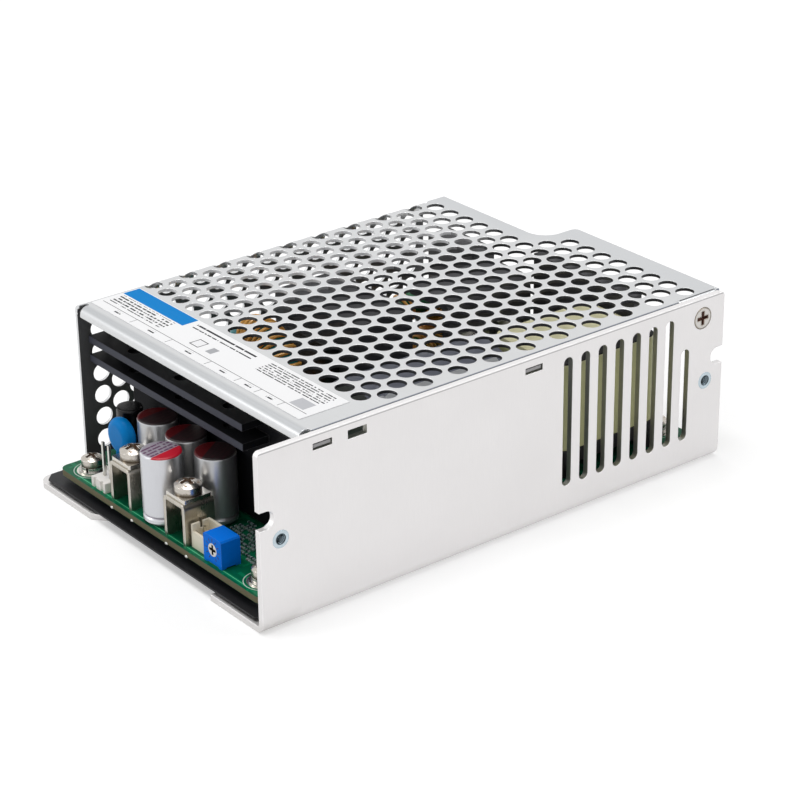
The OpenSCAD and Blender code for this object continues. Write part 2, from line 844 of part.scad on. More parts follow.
// Line side
pfc_y = board_rear - pfc_rear - pfc_d / 2;
pfc_lead_y = pfc_d / 2 - rail_w / 2;
bulk_front = pfc_y - pfc_d / 2 - bulk_rear_gap - bulk_l;
primary_x = board_far + primary_far;
surge_x = primary_x + pack_t + surge_gap + surge_t / 2;
pfc_w = board_near - pfc_near - surge_x - surge_t / 2 - pfc_far_gap;
pfc_x = board_near - pfc_near - pfc_w / 2;
primary_y = board_rear - primary_rear - primary_l / 2;
primary_ys = [for (s = [-1, 1]) primary_y + s * primary_pitch / 2];
bridge_y = board_rear - bridge_rear;
inlet_x = board_far + inlet_far + inlet_w / 2;
bridge_sink_far = inlet_x + inlet_w / 2 + bridge_inlet_gap;
bridge_sink_l = board_near - fix_reach - bridge_fix_gap - bridge_sink_far;
bridge_sink_x = bridge_sink_far + bridge_sink_l / 2;
bridge_screw_z = pack_z + bridge_h * 0.62;
xcap_spot = [board_far + xcap_far + xcap_l / 2, board_rear - xcap_rear - xcap_t / 2];
fuse_spot = [board_far + fuse_far, board_rear - fuse_rear];
thermistor_spot = [surge_x, board_rear - thermistor_rear];
varistor_spot = [surge_x, board_rear - varistor_rear];
inlet_y = board_rear - inlet_in - inlet_d / 2;

// Lead positions, shared by parts and board
function row_x(c, n, p) = [for (i = [0 : n - 1]) [c[0] + (i - (n - 1) / 2) * p, c[1]]];
function row_y(c, n, p) = [for (i = [0 : n - 1]) [c[0], c[1] + (i - (n - 1) / 2) * p]];
function flatten(list) = [for (part = list, item = part) item];

rect_leads = flatten([for (x = rect_xs) row_x([x, sink_back + pack_lead_y], 3, pack_pitch)]);
primary_leads = flatten([for (y = primary_ys) row_y([primary_x + pack_lead_y, y], 3, pack_pitch)]);
bridge_leads = row_x([bridge_sink_x, bridge_y + bridge_t / 2], 4, bridge_pitch);
trimmer_leads = row_x([trimmer_x, trimmer_y], 3, pin_pitch);
header_pins = row_x([header_x, header_y], 2, pin_pitch);
signal_pins_at = row_x([signal_x, signal_y], 2, pin_pitch);
inlet_pins_at = row_x([inlet_x, inlet_y], inlet_pins, inlet_pitch);
choke_leads = [for (s = [-1, 1]) [choke_x + s * choke_lead_x, choke_y + s * choke_lead_y]];
bulk_leads = row_x([bulk_x, bulk_front - bulk_reach], 2, bulk_lead);
rail_leads = flatten([for (s = [-1, 1]) row_x([trafo_x, trafo_y + s * rail_y], rail_pins, rail_pitch)]);
pfc_leads = flatten([for (s = [-1, 1]) row_x([pfc_x, pfc_y + s * pfc_lead_y], rail_pins, rail_pitch)]);
line_leads = [for (sx = [-1, 1], sy = [-1, 1]) [line_x + sx * line_lead_x, line_y + sy * line_ring * 0.8]];

thin_leads = concat(
  flatten([for (c = cap_spots) row_x(c, 2, cap_lead)]),
  row_x(standby_spot, 2, standby_d / 2.5),
  row_x(disc_spot, 2, disc_lead),
  rect_leads, primary_leads, trimmer_leads, rail_leads, pfc_leads,
  row_x(xcap_spot, 2, xcap_lead),
  row_x(fuse_spot, 2, fuse_d / 2),
  row_y(thermistor_spot, 2, surge_d / 2),
  row_y(varistor_spot, 2, surge_d / 2)
);
thick_leads = concat(bridge_leads, bulk_leads, line_leads);
output_feet = [for (x = sink_foot_xs) [x, sink_front + sink_t / 2]];
primary_feet = row_y([primary_x - plate_t / 2, primary_y], 2, primary_l - 2 * sink_foot_d);
bridge_feet = row_x([bridge_sink_x, bridge_y - plate_t / 2], 2, bridge_sink_l - 2 * sink_foot_d);
sink_pins = concat(output_feet, primary_feet, bridge_feet);
terminal_tabs = [
  for (x = terminal_xs, sx = [-1, 1], sy = [-1, 1])
    [x + sx * (terminal_w - terminal_t) / 2, terminal_y + sy * (terminal_d / 2 - terminal_tab_w)]
];

// Flat outlines
module round_rect(w, l, r) {
  square([w - 2 * r, l], center = true);
  square([w, l - 2 * r], center = true);
  for (sx = [-1, 1], sy = [-1, 1])
    translate([sx * (w / 2 - r), sy * (l / 2 - r)]) circle(r);
}

// Sheet between two corners
module area(a, b) {
  translate(a) square(b - a);
}

// Stadium outline standing on its end
module slot_up(w, z0, z1) {
  translate([-w / 2, z0 + w / 2]) square([w, z1 - z0 - w]);
  for (z = [z0 + w / 2, z1 - w / 2]) translate([0, z]) circle(d = w);
}

// Quarter of a fold, in the quadrant of two signs
module fold(ri, ro, sx, sz) {
  intersection() {
    difference() {
      circle(ro);
      circle(ri);
    }
    translate([sx > 0 ? 0 : -ro, sz > 0 ? 0 : -ro]) square(ro);
  }
}

// Corner piece that a rounding takes off at c
module corner_cut(c, r, sx, sy) {
  translate(c) difference() {
    translate([sx > 0 ? -r : -eps, sy > 0 ? -r : -eps]) square(r + eps);
    translate([-sx * r, -sy * r]) circle(r);
  }
}

// Outline in X and Z, pushed along Y
module along_y(y0, y1) {
  translate([0, y1, 0]) rotate([90, 0, 0]) linear_extrude(y1 - y0) children();
}

// Outline in Y and Z, pushed along X
module along_x(x0, x1) {
  translate([x0, 0, 0]) rotate([90, 0, 90]) linear_extrude(x1 - x0) children();
}

// Children at a point of the plan, at height z
module at(p, z) {
  translate([p[0], p[1], z]) children();
}

module leads(points, d, z1) {
  for (p = points) at(p, tail_z) cylinder(d = d, h = z1 - tail_z);
}

// Two crossed driver slots below z = 0
module cross_slots(l, w, depth) {
  for (a = [0, 90]) rotate(a) translate([-l / 2, -w / 2, -depth]) cube([l, w, depth + eps]);
}

// Pan-head screw on the plane z = 0
module pan_screw(head_d, head_h, thread_d, thread_l) {
  dome_r = head_d * 0.85;
  difference() {
    intersection() {
      cylinder(d = head_d, h = head_h);
      translate([0, 0, head_h - dome_r]) sphere(dome_r, $fn = 64);
    }
    translate([0, 0, head_h]) cross_slots(head_d * 0.6, head_d * 0.16, head_h * 0.5);
  }
  translate([0, 0, -thread_l]) cylinder(d = thread_d, h = thread_l);
}

// Countersunk screw below the plane z = 0
module flat_screw(head_d, thread_d, sink, length) {
  difference() {
    union() {
      translate([0, 0, -sink]) cylinder(d1 = thread_d, d2 = head_d, h = sink);
      translate([0, 0, -length]) cylinder(d = thread_d, h = length - sink);
    }
    cross_slots(head_d * 0.62, head_d * 0.15, sink * 0.7);
  }
}

// Chassis: base, near wall, vents and ears
module base_outline() {
  recess_far = far_x + tab_far_w;
  recess_near = near_x - tab_near_w;
  difference() {
    area([far_x, front_y], [near_x - chassis_ro, rear_y]);
    polygon([
      [recess_far, front_y - eps],
      [recess_far + recess_slant_w, front_y + recess_slant_d],
      [recess_far + recess_slant_w, front_y + recess_depth],
      [recess_near, front_y + recess_depth],
      [recess_near, front_y - eps]
    ]);
    corner_cut([far_x, front_y], base_corner_r, -1, -1);
    corner_cut([far_x, rear_y], base_corner_r, -1, 1);
    for (y = far_screw_ys) {
      area(
        [far_x - eps, y - chassis_ear_w / 2],
        [chassis_ear_x + chassis_ro, y + chassis_ear_w / 2]
      );
      for (s = [-1, 1]) translate([far_x - eps, y + s * (chassis_ear_w + ear_relief) / 2 - ear_relief / 2])
        square([chassis_ear_x + chassis_ro + ear_relief - far_x, ear_relief]);
    }
    for (p = fix_points) translate(p) circle(d = standoff_shank_d);
  }
}

module near_wall_outline() {
  difference() {
    area([front_y, chassis_ro], [rear_y, case_h]);
    corner_cut([front_y, case_h], wall_corner_r, -1, 1);
    corner_cut([rear_y, case_h], wall_corner_r, 1, 1);
    for (s = [-1, 1]) {
      translate([s * notch_y, notch_z]) circle(d = notch_w);
      translate([s > 0 ? notch_y : front_y - eps, notch_z - notch_w / 2])
        square([rear_y + eps - notch_y, notch_w]);
      translate([s * bush_spacing / 2, bush_z]) circle(d = bush_shank_d);
    }
    for (i = [0 : vent_count - 1]) translate([rear_y - vent_rear - i * vent_pitch, 0])
      slot_up(vent_w, vent_low, case_h - (i == 0 ? vent_short_top : vent_top));
    for (y = tab_ys) translate([y, tab_top_z - cover_t / 2])
      square([tab_w + 2 * tab_gap, cover_t + 2 * tab_gap_z], center = true);
    translate([spare_y, tab_top_z - cover_t / 2])
      square([tab_w + 2 * tab_gap, cover_t + 2 * tab_gap_z + spare_extra], center = true);
  }
}

module chassis() {
  color("gainsboro") difference() {
    union() {
      linear_extrude(chassis_t) base_outline();
      along_x(wall_in_x, near_x) near_wall_outline();
      along_y(front_y, rear_y) translate([near_x - chassis_ro, chassis_ro])
        fold(chassis_bend_r, chassis_ro, 1, -1);
      for (y = far_screw_ys) along_y(y - chassis_ear_w / 2, y + chassis_ear_w / 2) {
        translate([chassis_ear_x + chassis_ro, chassis_ro]) fold(chassis_bend_r, chassis_ro, -1, -1);
        area([chassis_ear_x, chassis_ro], [chassis_ear_x + chassis_t, chassis_ear_h]);
      }
    }
    translate([near_x, screw_y, screw_z]) rotate([0, 90, 0]) near_screw_seat();
    for (y = far_screw_ys) translate([chassis_ear_x - eps, y, far_screw_z]) rotate([0, 90, 0])
      cylinder(d = cover_screw_d + 2 * screw_gap, h = chassis_t + 2 * eps);
  }
}

// Countersink in the near wall
module near_screw_seat() {
  translate([0, 0, -chassis_t])
    cylinder(d1 = cover_screw_d + 2 * screw_gap, d2 = cover_head_d + 2 * screw_gap, h = chassis_t + eps);
  translate([0, 0, -chassis_t - eps]) cylinder(d = cover_screw_d + 2 * screw_gap, h = chassis_t);
}

// Cover: perforated top and far wall, lip, tabs and ear
function perf_y(j) = perf_first_y + j * perf_row;
function perf_u(j, n) = perf_near_x - perf_pitch * (n + (j % 2 == 0 ? 0.5 : 0));
function rear_limit(u) = u - perf_r - perf_cut_gap > cut_x ? rear_y : cut_y;
function on_top(u, y) = u - perf_r >= fold_x && y + perf_r + perf_rear_gap <= rear_limit(u);
function wall_z(u) = fold_z + u - fold_x + fold_arc;
function clear_of_screws(y, z) =
  min([for (s = far_screw_ys) norm([y - s, z - far_screw_z])]) > perf_r + cover_head_d / 2 + perf_screw_gap;
function in_wall_length(y) =
  y - perf_r - perf_wall_gap >= far_front_y && y + perf_r + perf_wall_gap <= far_rear_y;
function on_wall(u, y) = wall_z(u) + perf_r <= fold_z
  && wall_z(u) - perf_r - perf_foot_gap >= far_low_z && in_wall_length(y) && clear_of_screws(y, wall_z(u));
function on_fold(u, y) = u - perf_r < fold_x && wall_z(u) + perf_r > fold_z && in_wall_length(y);

module top_outline() {
  difference() {
    union() {
      area([fold_x, lip_fold_y], [cover_near_x, cut_y]);
      area([fold_x - cut_overhang, far_rear_y + lip_relief], [fold_x, cut_y]);
      area([cut_x, cut_y], [cover_near_x, rear_y]);
      translate([cut_x, cut_y]) difference() {
        translate([-cut_fillet, 0]) square(cut_fillet);
        translate([-cut_fillet, cut_fillet]) circle(cut_fillet);
      }
    }
    corner_cut([cut_x, rear_y], cut_corner_r, -1, 1);
    for (x = [fold_x, cover_near_x - lip_relief])
      area([x - eps, lip_fold_y - eps], [x + lip_relief, lip_fold_y + lip_relief_d]);
    area([cover_ear_x - cover_ro, screw_y - ear_w / 2], [cover_near_x + eps, screw_y + ear_w / 2]);
    for (j = [0 : perf_rows], n = [0 : perf_cols])
      if (on_top(perf_u(j, n), perf_y(j))) translate([perf_u(j, n), perf_y(j)]) circle(perf_r, $fn = 20);
  }
}

module far_wall_outline() {
  difference() {
    area([far_front_y, far_low_z], [far_rear_y, fold_z]);
    corner_cut([far_front_y, far_low_z], far_corner_r, -1, -1);
    corner_cut([far_rear_y, far_low_z], far_corner_r, 1, -1);
    for (j = [-perf_lead_rows : perf_rows], n = [0 : perf_cols])
      if (on_wall(perf_u(j, n), perf_y(j)))
        translate([perf_y(j), wall_z(perf_u(j, n))]) circle(perf_r, $fn = 20);
  }
}

// Perforations that cross the fold, square to the sheet at their centres
module fold_holes() {
  for (j = [0 : perf_rows], n = [0 : perf_cols]) {
    u = perf_u(j, n);
    turn = max(0, min(90, (fold_x - u) / cover_mid_r * 180 / PI));
    if (on_fold(u, perf_y(j)))
      translate([max(u, fold_x), perf_y(j), min(fold_z, wall_z(u))]) rotate([0, -turn, 0])
        translate([0, 0, turn > 0 ? cover_bend_r / 2 : 0]) cylinder(r = perf_r, h = cover_ro + 1, $fn = 32);
  }
}

module locating_tab(y) {
  along_y(y - tab_w / 2, y + tab_w / 2) {
    area([cover_near_x - cover_t, tab_top_z - cover_t], [cover_near_x, under_z + eps]);
    area([cover_near_x - cover_t, tab_top_z - cover_t], [near_x - tab_sink, tab_top_z]);
  }
}

module cover() {
  color("silver") difference() {
    union() {
      translate([0, 0, under_z]) linear_extrude(cover_t) top_outline();
      along_y(far_front_y, far_rear_y) translate([fold_x, fold_z]) fold(cover_bend_r, cover_ro, -1, 1);
      along_x(far_x, far_wall_in_x) far_wall_outline();
      along_x(fold_x + lip_relief, cover_near_x - lip_relief) {
        translate([lip_fold_y, fold_z]) fold(cover_bend_r, cover_ro, -1, 1);
        area([lip_y, case_h - lip_h], [lip_y + cover_t, fold_z]);
      }
      for (y = tab_ys) locating_tab(y);
      along_y(screw_y - ear_w / 2, screw_y + ear_w / 2) {
        translate([cover_ear_x - cover_ro, fold_z]) fold(cover_bend_r, cover_ro, 1, 1);
        area([cover_ear_x - cover_t, case_h - ear_h], [cover_ear_x, fold_z]);
      }
    }
    fold_holes();
    translate([cover_ear_x - cover_t - eps, screw_y, screw_z]) rotate([0, 90, 0])
      cylinder(d = cover_screw_d + 2 * screw_gap, h = cover_t + 2 * eps);
    for (y = far_screw_ys) translate([far_x, y, far_screw_z]) rotate([0, -90, 0]) {
      translate([0, 0, -cover_t])
        cylinder(d1 = cover_screw_d + 2 * screw_gap, d2 = cover_head_d + 2 * screw_gap, h = cover_t + eps);
      translate([0, 0, -cover_t - eps]) cylinder(d = cover_screw_d + 2 * screw_gap, h = cover_t);
    }
  }
}

module side_bushes() {
  color("silver") for (s = [-1, 1])
    translate([near_x, s * bush_spacing / 2, bush_z]) rotate([0, -90, 0]) difference() {
      union() {
        cylinder(d = bush_shank_d, h = chassis_t);
        translate([0, 0, chassis_t]) cylinder(d = bush_flange_d, h = bush_flange_t);
      }
      translate([0, 0, -eps]) cylinder(d = bush_thread_d, h = chassis_t + bush_flange_t + 2 * eps);
    }
}

module cover_screws() {
  color("lightgray") {
    translate([near_x, screw_y, screw_z]) rotate([0, 90, 0])
      flat_screw(cover_head_d, cover_screw_d, chassis_t, cover_screw_l);
    for (y = far_screw_ys) translate([far_x, y, far_screw_z]) rotate([0, -90, 0])
      flat_screw(cover_head_d, cover_screw_d, cover_t, far_screw_l);
  }
}

module rating_label() {
  color("whitesmoke") translate([label_far_x, label_front_y, case_h]) cube([label_l, label_w, label_t]);
}

module insulation_film() {
  x0 = far_x + film_far;
  x1 = near_x - film_near;
  y0 = front_y + film_front;
  y1 = rear_y - film_rear;
  ear_x = chassis_ear_x + chassis_ro + film_gap;
  ear_span = chassis_ear_w + 2 * (ear_relief + film_gap);
  color("#222222") translate([0, 0, film_z]) linear_extrude(film_t) difference() {
    area([x0, y0], [x1, y1]);
    for (y = [y0, y1]) translate([x0, y]) rotate(45) square(film_corner * sqrt(2), center = true);
    for (y = [y0, y1]) translate([x1, y]) rotate(45) square(film_corner * sqrt(2), center = true);
    for (y = far_screw_ys) area([x0 - eps, y - ear_span / 2], [ear_x, y + ear_span / 2]);
    for (p = fix_points) translate(p) circle(d = standoff_d + 2 * film_gap);
  }
}

module standoffs() {
  color("silver") for (p = fix_points) at(p, 0) difference() {
    union() {
      cylinder(d = standoff_shank_d, h = chassis_t);
      translate([0, 0, chassis_t]) cylinder(d = collar_d, h = collar_t);
      translate([0, 0, chassis_t]) cylinder(d = standoff_d, h = standoff_h);
    }
    translate([0, 0, board_z - standoff_thread_l])
      cylinder(d = board_screw_d + 2 * screw_gap, h = standoff_thread_l + eps);
  }
}

module board() {
  color("seagreen") translate([0, 0, board_z]) linear_extrude(board_t) difference() {
    translate([(board_far + board_near) / 2, (board_front + board_rear) / 2])
      round_rect(board_near - board_far, board_rear - board_front, board_corner_r);
    for (p = fix_points) translate(p) circle(d = fix_d);
    for (p = thin_leads) translate(p) circle(d = lead_d + 2 * lead_gap, $fn = 16);
    for (p = thick_leads) translate(p) circle(d = pin_d + 2 * lead_gap, $fn = 16);
    for (p = choke_leads) translate(p) circle(d = choke_lead_d + 2 * lead_gap, $fn = 16);
    for (p = sink_pins) translate(p) circle(d = sink_pin_d + 2 * lead_gap, $fn = 16);
    for (p = terminal_tabs) translate(p)
      square([terminal_t + 2 * lead_gap, terminal_tab_w + 2 * lead_gap], center = true);
    for (p = concat(header_pins, signal_pins_at)) translate(p)
      square(square_pin + 2 * lead_gap, center = true);
    for (p = inlet_pins_at) translate(p) square(inlet_pin + 2 * lead_gap, center = true);
  }
}

module board_screws() {
  thread_l = board_head_z - board_z + standoff_thread_l - 2 * screw_gap;
  color("lightgray") for (p = fix_points) at(p, board_head_z)
    pan_screw(board_head_d, board_head_h, board_screw_d, thread_l);
}

module flat_washers() {
  color("silver") for (p = fix_points) at(p, top_z) linear_extrude(flat_washer_t) difference() {
    circle(d = flat_washer_d);
    circle(d = board_screw_d + 4 * screw_gap);
  }
}

module spring_washers() {
  color("gray") for (p = fix_points) at(p, top_z + flat_washer_t)
    linear_extrude(spring_washer_t) difference() {
      circle(d = spring_washer_d);
      circle(d = board_screw_d + 4 * screw_gap);
      rotate(-60) translate([0, -spring_split / 2]) square([spring_washer_d, spring_split]);
    }
}

// U-shaped terminal with four solder tabs and a tapped top
module output_terminal(x) {
  y0 = terminal_y - terminal_d / 2;
  inner = terminal_r - terminal_t;
  color("silver") difference() {
    union() {
      along_y(y0, y0 + terminal_d) translate([x, 0]) {
        for (s = [-1, 1]) {
          translate([s * (terminal_w / 2 - terminal_r), terminal_top_z - terminal_r])
            fold(inner, terminal_r, s, 1);
          translate([s * (terminal_w - terminal_t) / 2, (top_z + terminal_top_z - terminal_r) / 2])
            square([terminal_t, terminal_top_z - terminal_r - top_z], center = true);
        }
        translate([0, terminal_top_z - terminal_t / 2])
          square([terminal_w - 2 * terminal_r, terminal_t], center = true);
      }
      for (sx = [-1, 1], sy = [-1, 1])
        translate([
          x + sx * (terminal_w - terminal_t) / 2 - terminal_t / 2,
          terminal_y + sy * (terminal_d / 2 - terminal_tab_w) - terminal_tab_w / 2,
          tail_z
        ]) cube([terminal_t, terminal_tab_w, top_z - tail_z + eps]);
    }
    translate([x, terminal_y, terminal_top_z - terminal_t - eps])
      cylinder(d = terminal_screw_d + 2 * screw_gap, h = terminal_t + 2 * eps);
  }
}

module output_terminal_far() {
  output_terminal(terminal_far_x);
}

module output_terminal_near() {
  output_terminal(terminal_near_x);
}

module square_washers() {
  color("silver") for (x = terminal_xs) translate([x, terminal_y, terminal_top_z])
    linear_extrude(square_washer_t) difference() {
      round_rect(square_washer_w, square_washer_w, square_washer_t / 2);
      circle(d = terminal_screw_d + 4 * screw_gap);
    }
}

module terminal_screws() {
  color("lightgray") for (x = terminal_xs) translate([x, terminal_y, terminal_head_z])
    pan_screw(terminal_head_d, terminal_head_h, terminal_screw_d, terminal_screw_l);
}

// Outline of a can: foot, groove, wall and rounded top
module can_outline(d, h) {
  r = d / 2;
  polygon([
    [0, 0], [r * 0.75, 0], [r * 0.75, can_foot], [r - can_edge, can_foot], [r, can_foot + can_edge],
    [r, groove_z - groove_depth], [r - groove_depth, groove_z], [r, groove_z + groove_depth],
    [r, h - can_edge], [r - can_edge * 0.3, h - can_edge * 0.3], [r - can_edge, h], [0, h]
  ]);
}

module output_capacitor(i) {
  color("lightsteelblue") {
    at(cap_spots[i], top_z) rotate_extrude($fn = 48) can_outline(cap_d, cap_h);
    leads(row_x(cap_spots[i], 2, cap_lead), lead_d, top_z + can_foot);
  }
}

module output_capacitor_front() {
  output_capacitor(0);
}

module output_capacitor_1() {
  output_capacitor(1);
}

module output_capacitor_2() {
  output_capacitor(2);
}

module output_capacitor_3() {
  output_capacitor(3);
}

module standby_capacitor() {
  color("#1c1c1c") {
    at(standby_spot, top_z) rotate_extrude() can_outline(standby_d, standby_h);
    leads(row_x(standby_spot, 2, standby_d / 2.5), lead_d, top_z + can_foot);
  }
}

// Coated disc about Z: a flat middle inside a round rim
module coated_disc(d, t) {
  rotate_extrude() {
    area([0, -t / 2], [d / 2 - t / 2, t / 2]);
    intersection() {
      translate([d / 2 - t / 2, 0]) circle(t / 2);
      area([0, -t], [d, t]);
    }
  }
}

module disc_capacitor() {
  color("royalblue") {
    at(disc_spot, top_z + disc_z) rotate([90, 0, 0]) coated_disc(disc_d, disc_t);
    leads(row_x(disc_spot, 2, disc_lead), lead_d, top_z + disc_z - disc_d / 4);
  }
}

module surge_disc(spot) {
  at(spot, top_z + surge_z) rotate([0, 90, 0]) coated_disc(surge_d, surge_t);
  leads(row_y(spot, 2, surge_d / 2), lead_d, top_z + surge_z - surge_d / 4);
}

module thermistor() {
  color("darkolivegreen") surge_disc(thermistor_spot);
}

module varistor() {
  color("steelblue") surge_disc(varistor_spot);
}

module sense_header() {
  y0 = header_y - header_d / 2;
  hole = square_pin + 2 * pin_gap;
  color("white") translate([0, 0, top_z]) linear_extrude(header_h) difference() {
    area([header_x - header_w / 2, y0], [header_x + header_w / 2, y0 + header_d]);
    for (p = header_pins) translate(p) square(hole, center = true);
    for (s = [-1, 1]) translate([header_x + s * header_w / 4, y0]) circle(header_notch / 2);
  }
}

module square_pins(points, size, z1) {
  for (p = points) translate([p[0] - size / 2, p[1] - size / 2, tail_z]) cube([size, size, z1 - tail_z]);
}

module sense_pins() {
  color("silver") square_pins(header_pins, square_pin, top_z + header_pin_h);
}

module signal_connector() {
  hole = square_pin + 2 * pin_gap;
  inner = [signal_w - 2 * signal_wall, signal_d - 2 * signal_wall];
  color("antiquewhite") translate([0, 0, top_z]) difference() {
    translate([signal_x - signal_w / 2, signal_y - signal_d / 2, 0]) cube([signal_w, signal_d, signal_h]);
    translate([signal_x - inner[0] / 2, signal_y - inner[1] / 2, signal_floor])
      cube([inner[0], inner[1], signal_h]);
    for (p = signal_pins_at) translate([p[0] - hole / 2, p[1] - hole / 2, -eps]) cube([hole, hole, signal_h]);
    translate([signal_x - inner[0] / 2, signal_y - signal_d / 2 - eps, signal_low])
      cube([inner[0], signal_d / 2, signal_h]);
    translate([signal_x - signal_w / 2 - eps, signal_y - signal_slot / 2, signal_low])
      cube([signal_w + 2 * eps, signal_slot, signal_h]);
  }
}

module signal_pins() {
  color("silver") square_pins(signal_pins_at, square_pin, top_z + signal_pin_h);
}

// Trimmer body with its rotor's seat
module trimmer_body() {
  x0 = trimmer_x - trimmer_w / 2;
  foot_d = pin_pitch / 2;
  color("royalblue") {
    difference() {
      along_y(trimmer_front, trimmer_front + trimmer_d) polygon([
        [x0, top_z + trimmer_foot], [x0 + trimmer_w, top_z + trimmer_foot],
        [x0 + trimmer_w, top_z + trimmer_h - trimmer_edge],
        [x0 + trimmer_w - trimmer_edge, top_z + trimmer_h],
        [x0 + trimmer_edge, top_z + trimmer_h], [x0, top_z + trimmer_h - trimmer_edge]
      ]);
      translate([trimmer_x, trimmer_front - eps, rotor_axis_z]) rotate([-90, 0, 0])
        cylinder(r = rotor_d / 2 + rotor_gap, h = rotor_l + rotor_end_gap + eps);
    }
    for (s = [-1, 1], y = [trimmer_front, trimmer_front + trimmer_d - foot_d])
      translate([trimmer_x + s * (trimmer_w - foot_d) / 2 - foot_d / 2, y, top_z])
        cube([foot_d, foot_d, trimmer_foot + eps]);
    leads(trimmer_leads, lead_d, top_z + trimmer_foot + eps);
  }
}

module trimmer_rotor() {
  color("white") translate([trimmer_x, trimmer_front, rotor_axis_z]) rotate([90, 0, 0]) difference() {
    translate([0, 0, -rotor_l]) cylinder(d = rotor_d, h = rotor_l);
    cross_slots(rotor_d * 0.8, rotor_slot, rotor_slot_d);
  }
}

module chip_parts() {
  color("#3a3a3a") for (i = [0 : chip_count - 1], j = [0 : chip_rows - 1])
    at([board_near - chip_near - i * chip_pitch_x, board_front + chip_in + j * chip_pitch_y], top_z)
      translate([-chip_l, 0, 0]) cube([chip_l, chip_w, chip_h]);
}

// Feet and pins that carry a heatsink on the board
module sink_feet(points) {
  for (p = points) at(p, top_z) {
    cylinder(d = sink_foot_d, h = sink_foot);
    translate([0, 0, -board_t - lead_tail]) cylinder(d = sink_pin_d, h = board_t + lead_tail + eps);
  }
}

module output_heatsink() {
  x1 = sink_far_x + sink_l;
  fin_x = sink_far_x + fin_l;
  color("#1a1a1a") {
    difference() {
      union() {
        along_x(sink_far_x, x1) area([sink_front, top_z + sink_foot], [sink_back, top_z + sink_h]);
        along_x(sink_far_x, fin_x) {
          area([sink_front, top_z + sink_foot], [sink_back, top_z + fin_high]);
          for (z = [fin_low, fin_high])
            area([sink_front - fin_reach, top_z + z - fin_t], [sink_front + eps, top_z + z]);
        }
      }
      translate([sink_far_x - eps, sink_front - eps, top_z])
        cube([sink_cut + eps, sink_t + 2 * eps, fin_low - fin_t]);
      for (x = rect_xs) {
        translate([x, sink_front - fin_hole_in, top_z + fin_low - fin_t - eps])
          cylinder(d = fin_hole_d, h = fin_high - fin_low + fin_t + 2 * eps);
        translate([x, sink_front - eps, pack_z + pack_hole_z]) rotate([-90, 0, 0])
          cylinder(d = pack_screw_d + 2 * screw_gap, h = sink_t + 2 * eps);
      }
    }
    sink_feet(output_feet);
  }
}

// Power package with its mounting face on the plane y = 0
module power_package() {
  difference() {
    along_x(-pack_w / 2, pack_w / 2) polygon([
      [0, 0], [pack_t, 0], [pack_t, pack_body_h - 0.6], [pack_t - 0.6, pack_body_h],
      [pack_tab_t, pack_body_h], [pack_tab_t, pack_tab_h], [0, pack_tab_h]
    ]);
    translate([0, -eps, pack_hole_z]) rotate([-90, 0, 0])
      cylinder(d = pack_screw_d + 4 * screw_gap, h = pack_t);
  }
}

module package_screw(length) {
  translate([0, pack_tab_t, pack_hole_z]) rotate([-90, 0, 0])
    pan_screw(pack_head_d, pack_head_h, pack_screw_d, length);
}

module output_rectifiers() {
  color("#2b2b2b") {
    for (x = rect_xs) translate([x, sink_back, pack_z]) power_package();
    leads(rect_leads, lead_d, pack_z + eps);
  }
}

module rectifier_screws() {
  color("lightgray") for (x = rect_xs) translate([x, sink_back, pack_z]) package_screw(pack_tab_t + sink_t);
}

// Ring about Z: sector of a round tube between two angles
module ring_part(ring, r0, r1, from, sweep) {
  rotate(from) rotate_extrude(angle = sweep, $fn = 64) translate([ring, 0]) difference() {
    circle(r1);
    circle(r0);
  }
}

module output_choke_core() {
  color("teal") translate([choke_x, choke_y, choke_z]) rotate([90, 0, 0]) rotate_extrude($fn = 64)
    translate([choke_ring, 0]) circle(choke_core);
}

module output_choke_winding() {
  color("peru") {
    translate([choke_x, choke_y, choke_z]) rotate([90, 0, 0])
      ring_part(choke_ring, choke_core + wind_gap, choke_tube, 150 + choke_bare / 2, 360 - choke_bare);
    leads(choke_leads, choke_lead_d, choke_z - sqrt(pow(choke_ring, 2) - pow(choke_lead_x, 2)));
  }
}

// Base with a trough that follows the ring it carries
module ring_base(l, d, h, ring, tube) {
  difference() {
    translate([-l / 2, -d / 2, 0]) cube([l, d, h]);
    translate([0, 0, choke_floor + ring + tube]) rotate([90, 0, 0]) rotate_extrude($fn = 64)
      translate([ring, 0]) circle(tube + wind_gap);
    translate([-ring, -d, choke_floor + ring]) cube([2 * ring, 2 * d, h]);
  }
}

module output_choke_base() {
  color("#2b2b2b") translate([choke_x, choke_y, top_z])
    ring_base(choke_base_l, choke_base_d, choke_base_h, choke_ring, choke_tube);
}

module line_choke_core() {
  color("seagreen") translate([line_x, line_y, line_z]) rotate([0, 90, 0]) rotate_extrude($fn = 64)
    translate([line_ring, 0]) circle(line_core);
}

module line_choke_windings() {
  color("peru") {
    translate([line_x, line_y, line_z]) rotate([0, 90, 0]) for (a = [0, 180])
      ring_part(line_ring, line_core + wind_gap, line_tube, a + line_bare / 2, 180 - line_bare);
    leads(line_leads, pin_d, line_z - line_ring * 0.6);
  }
}

module line_choke_base() {
  color("#2b2b2b") translate([line_x, line_y, top_z]) rotate(90)
    ring_base(line_base_l, line_base_d, line_base_h, line_ring, line_tube);
}

module transformer_core() {
  window_l = (core_l - 2 * core_leg - core_mid) / 2;
  color("#4a4a4c") translate([trafo_x, trafo_y, core_z]) along_y(-core_d / 2, core_d / 2) difference() {
    translate([-core_l / 2, 0]) square([core_l, core_h]);
    for (x = [-core_l / 2 + core_leg, core_mid / 2]) translate([x, core_leg]) square([window_l, window_h]);
  }
}

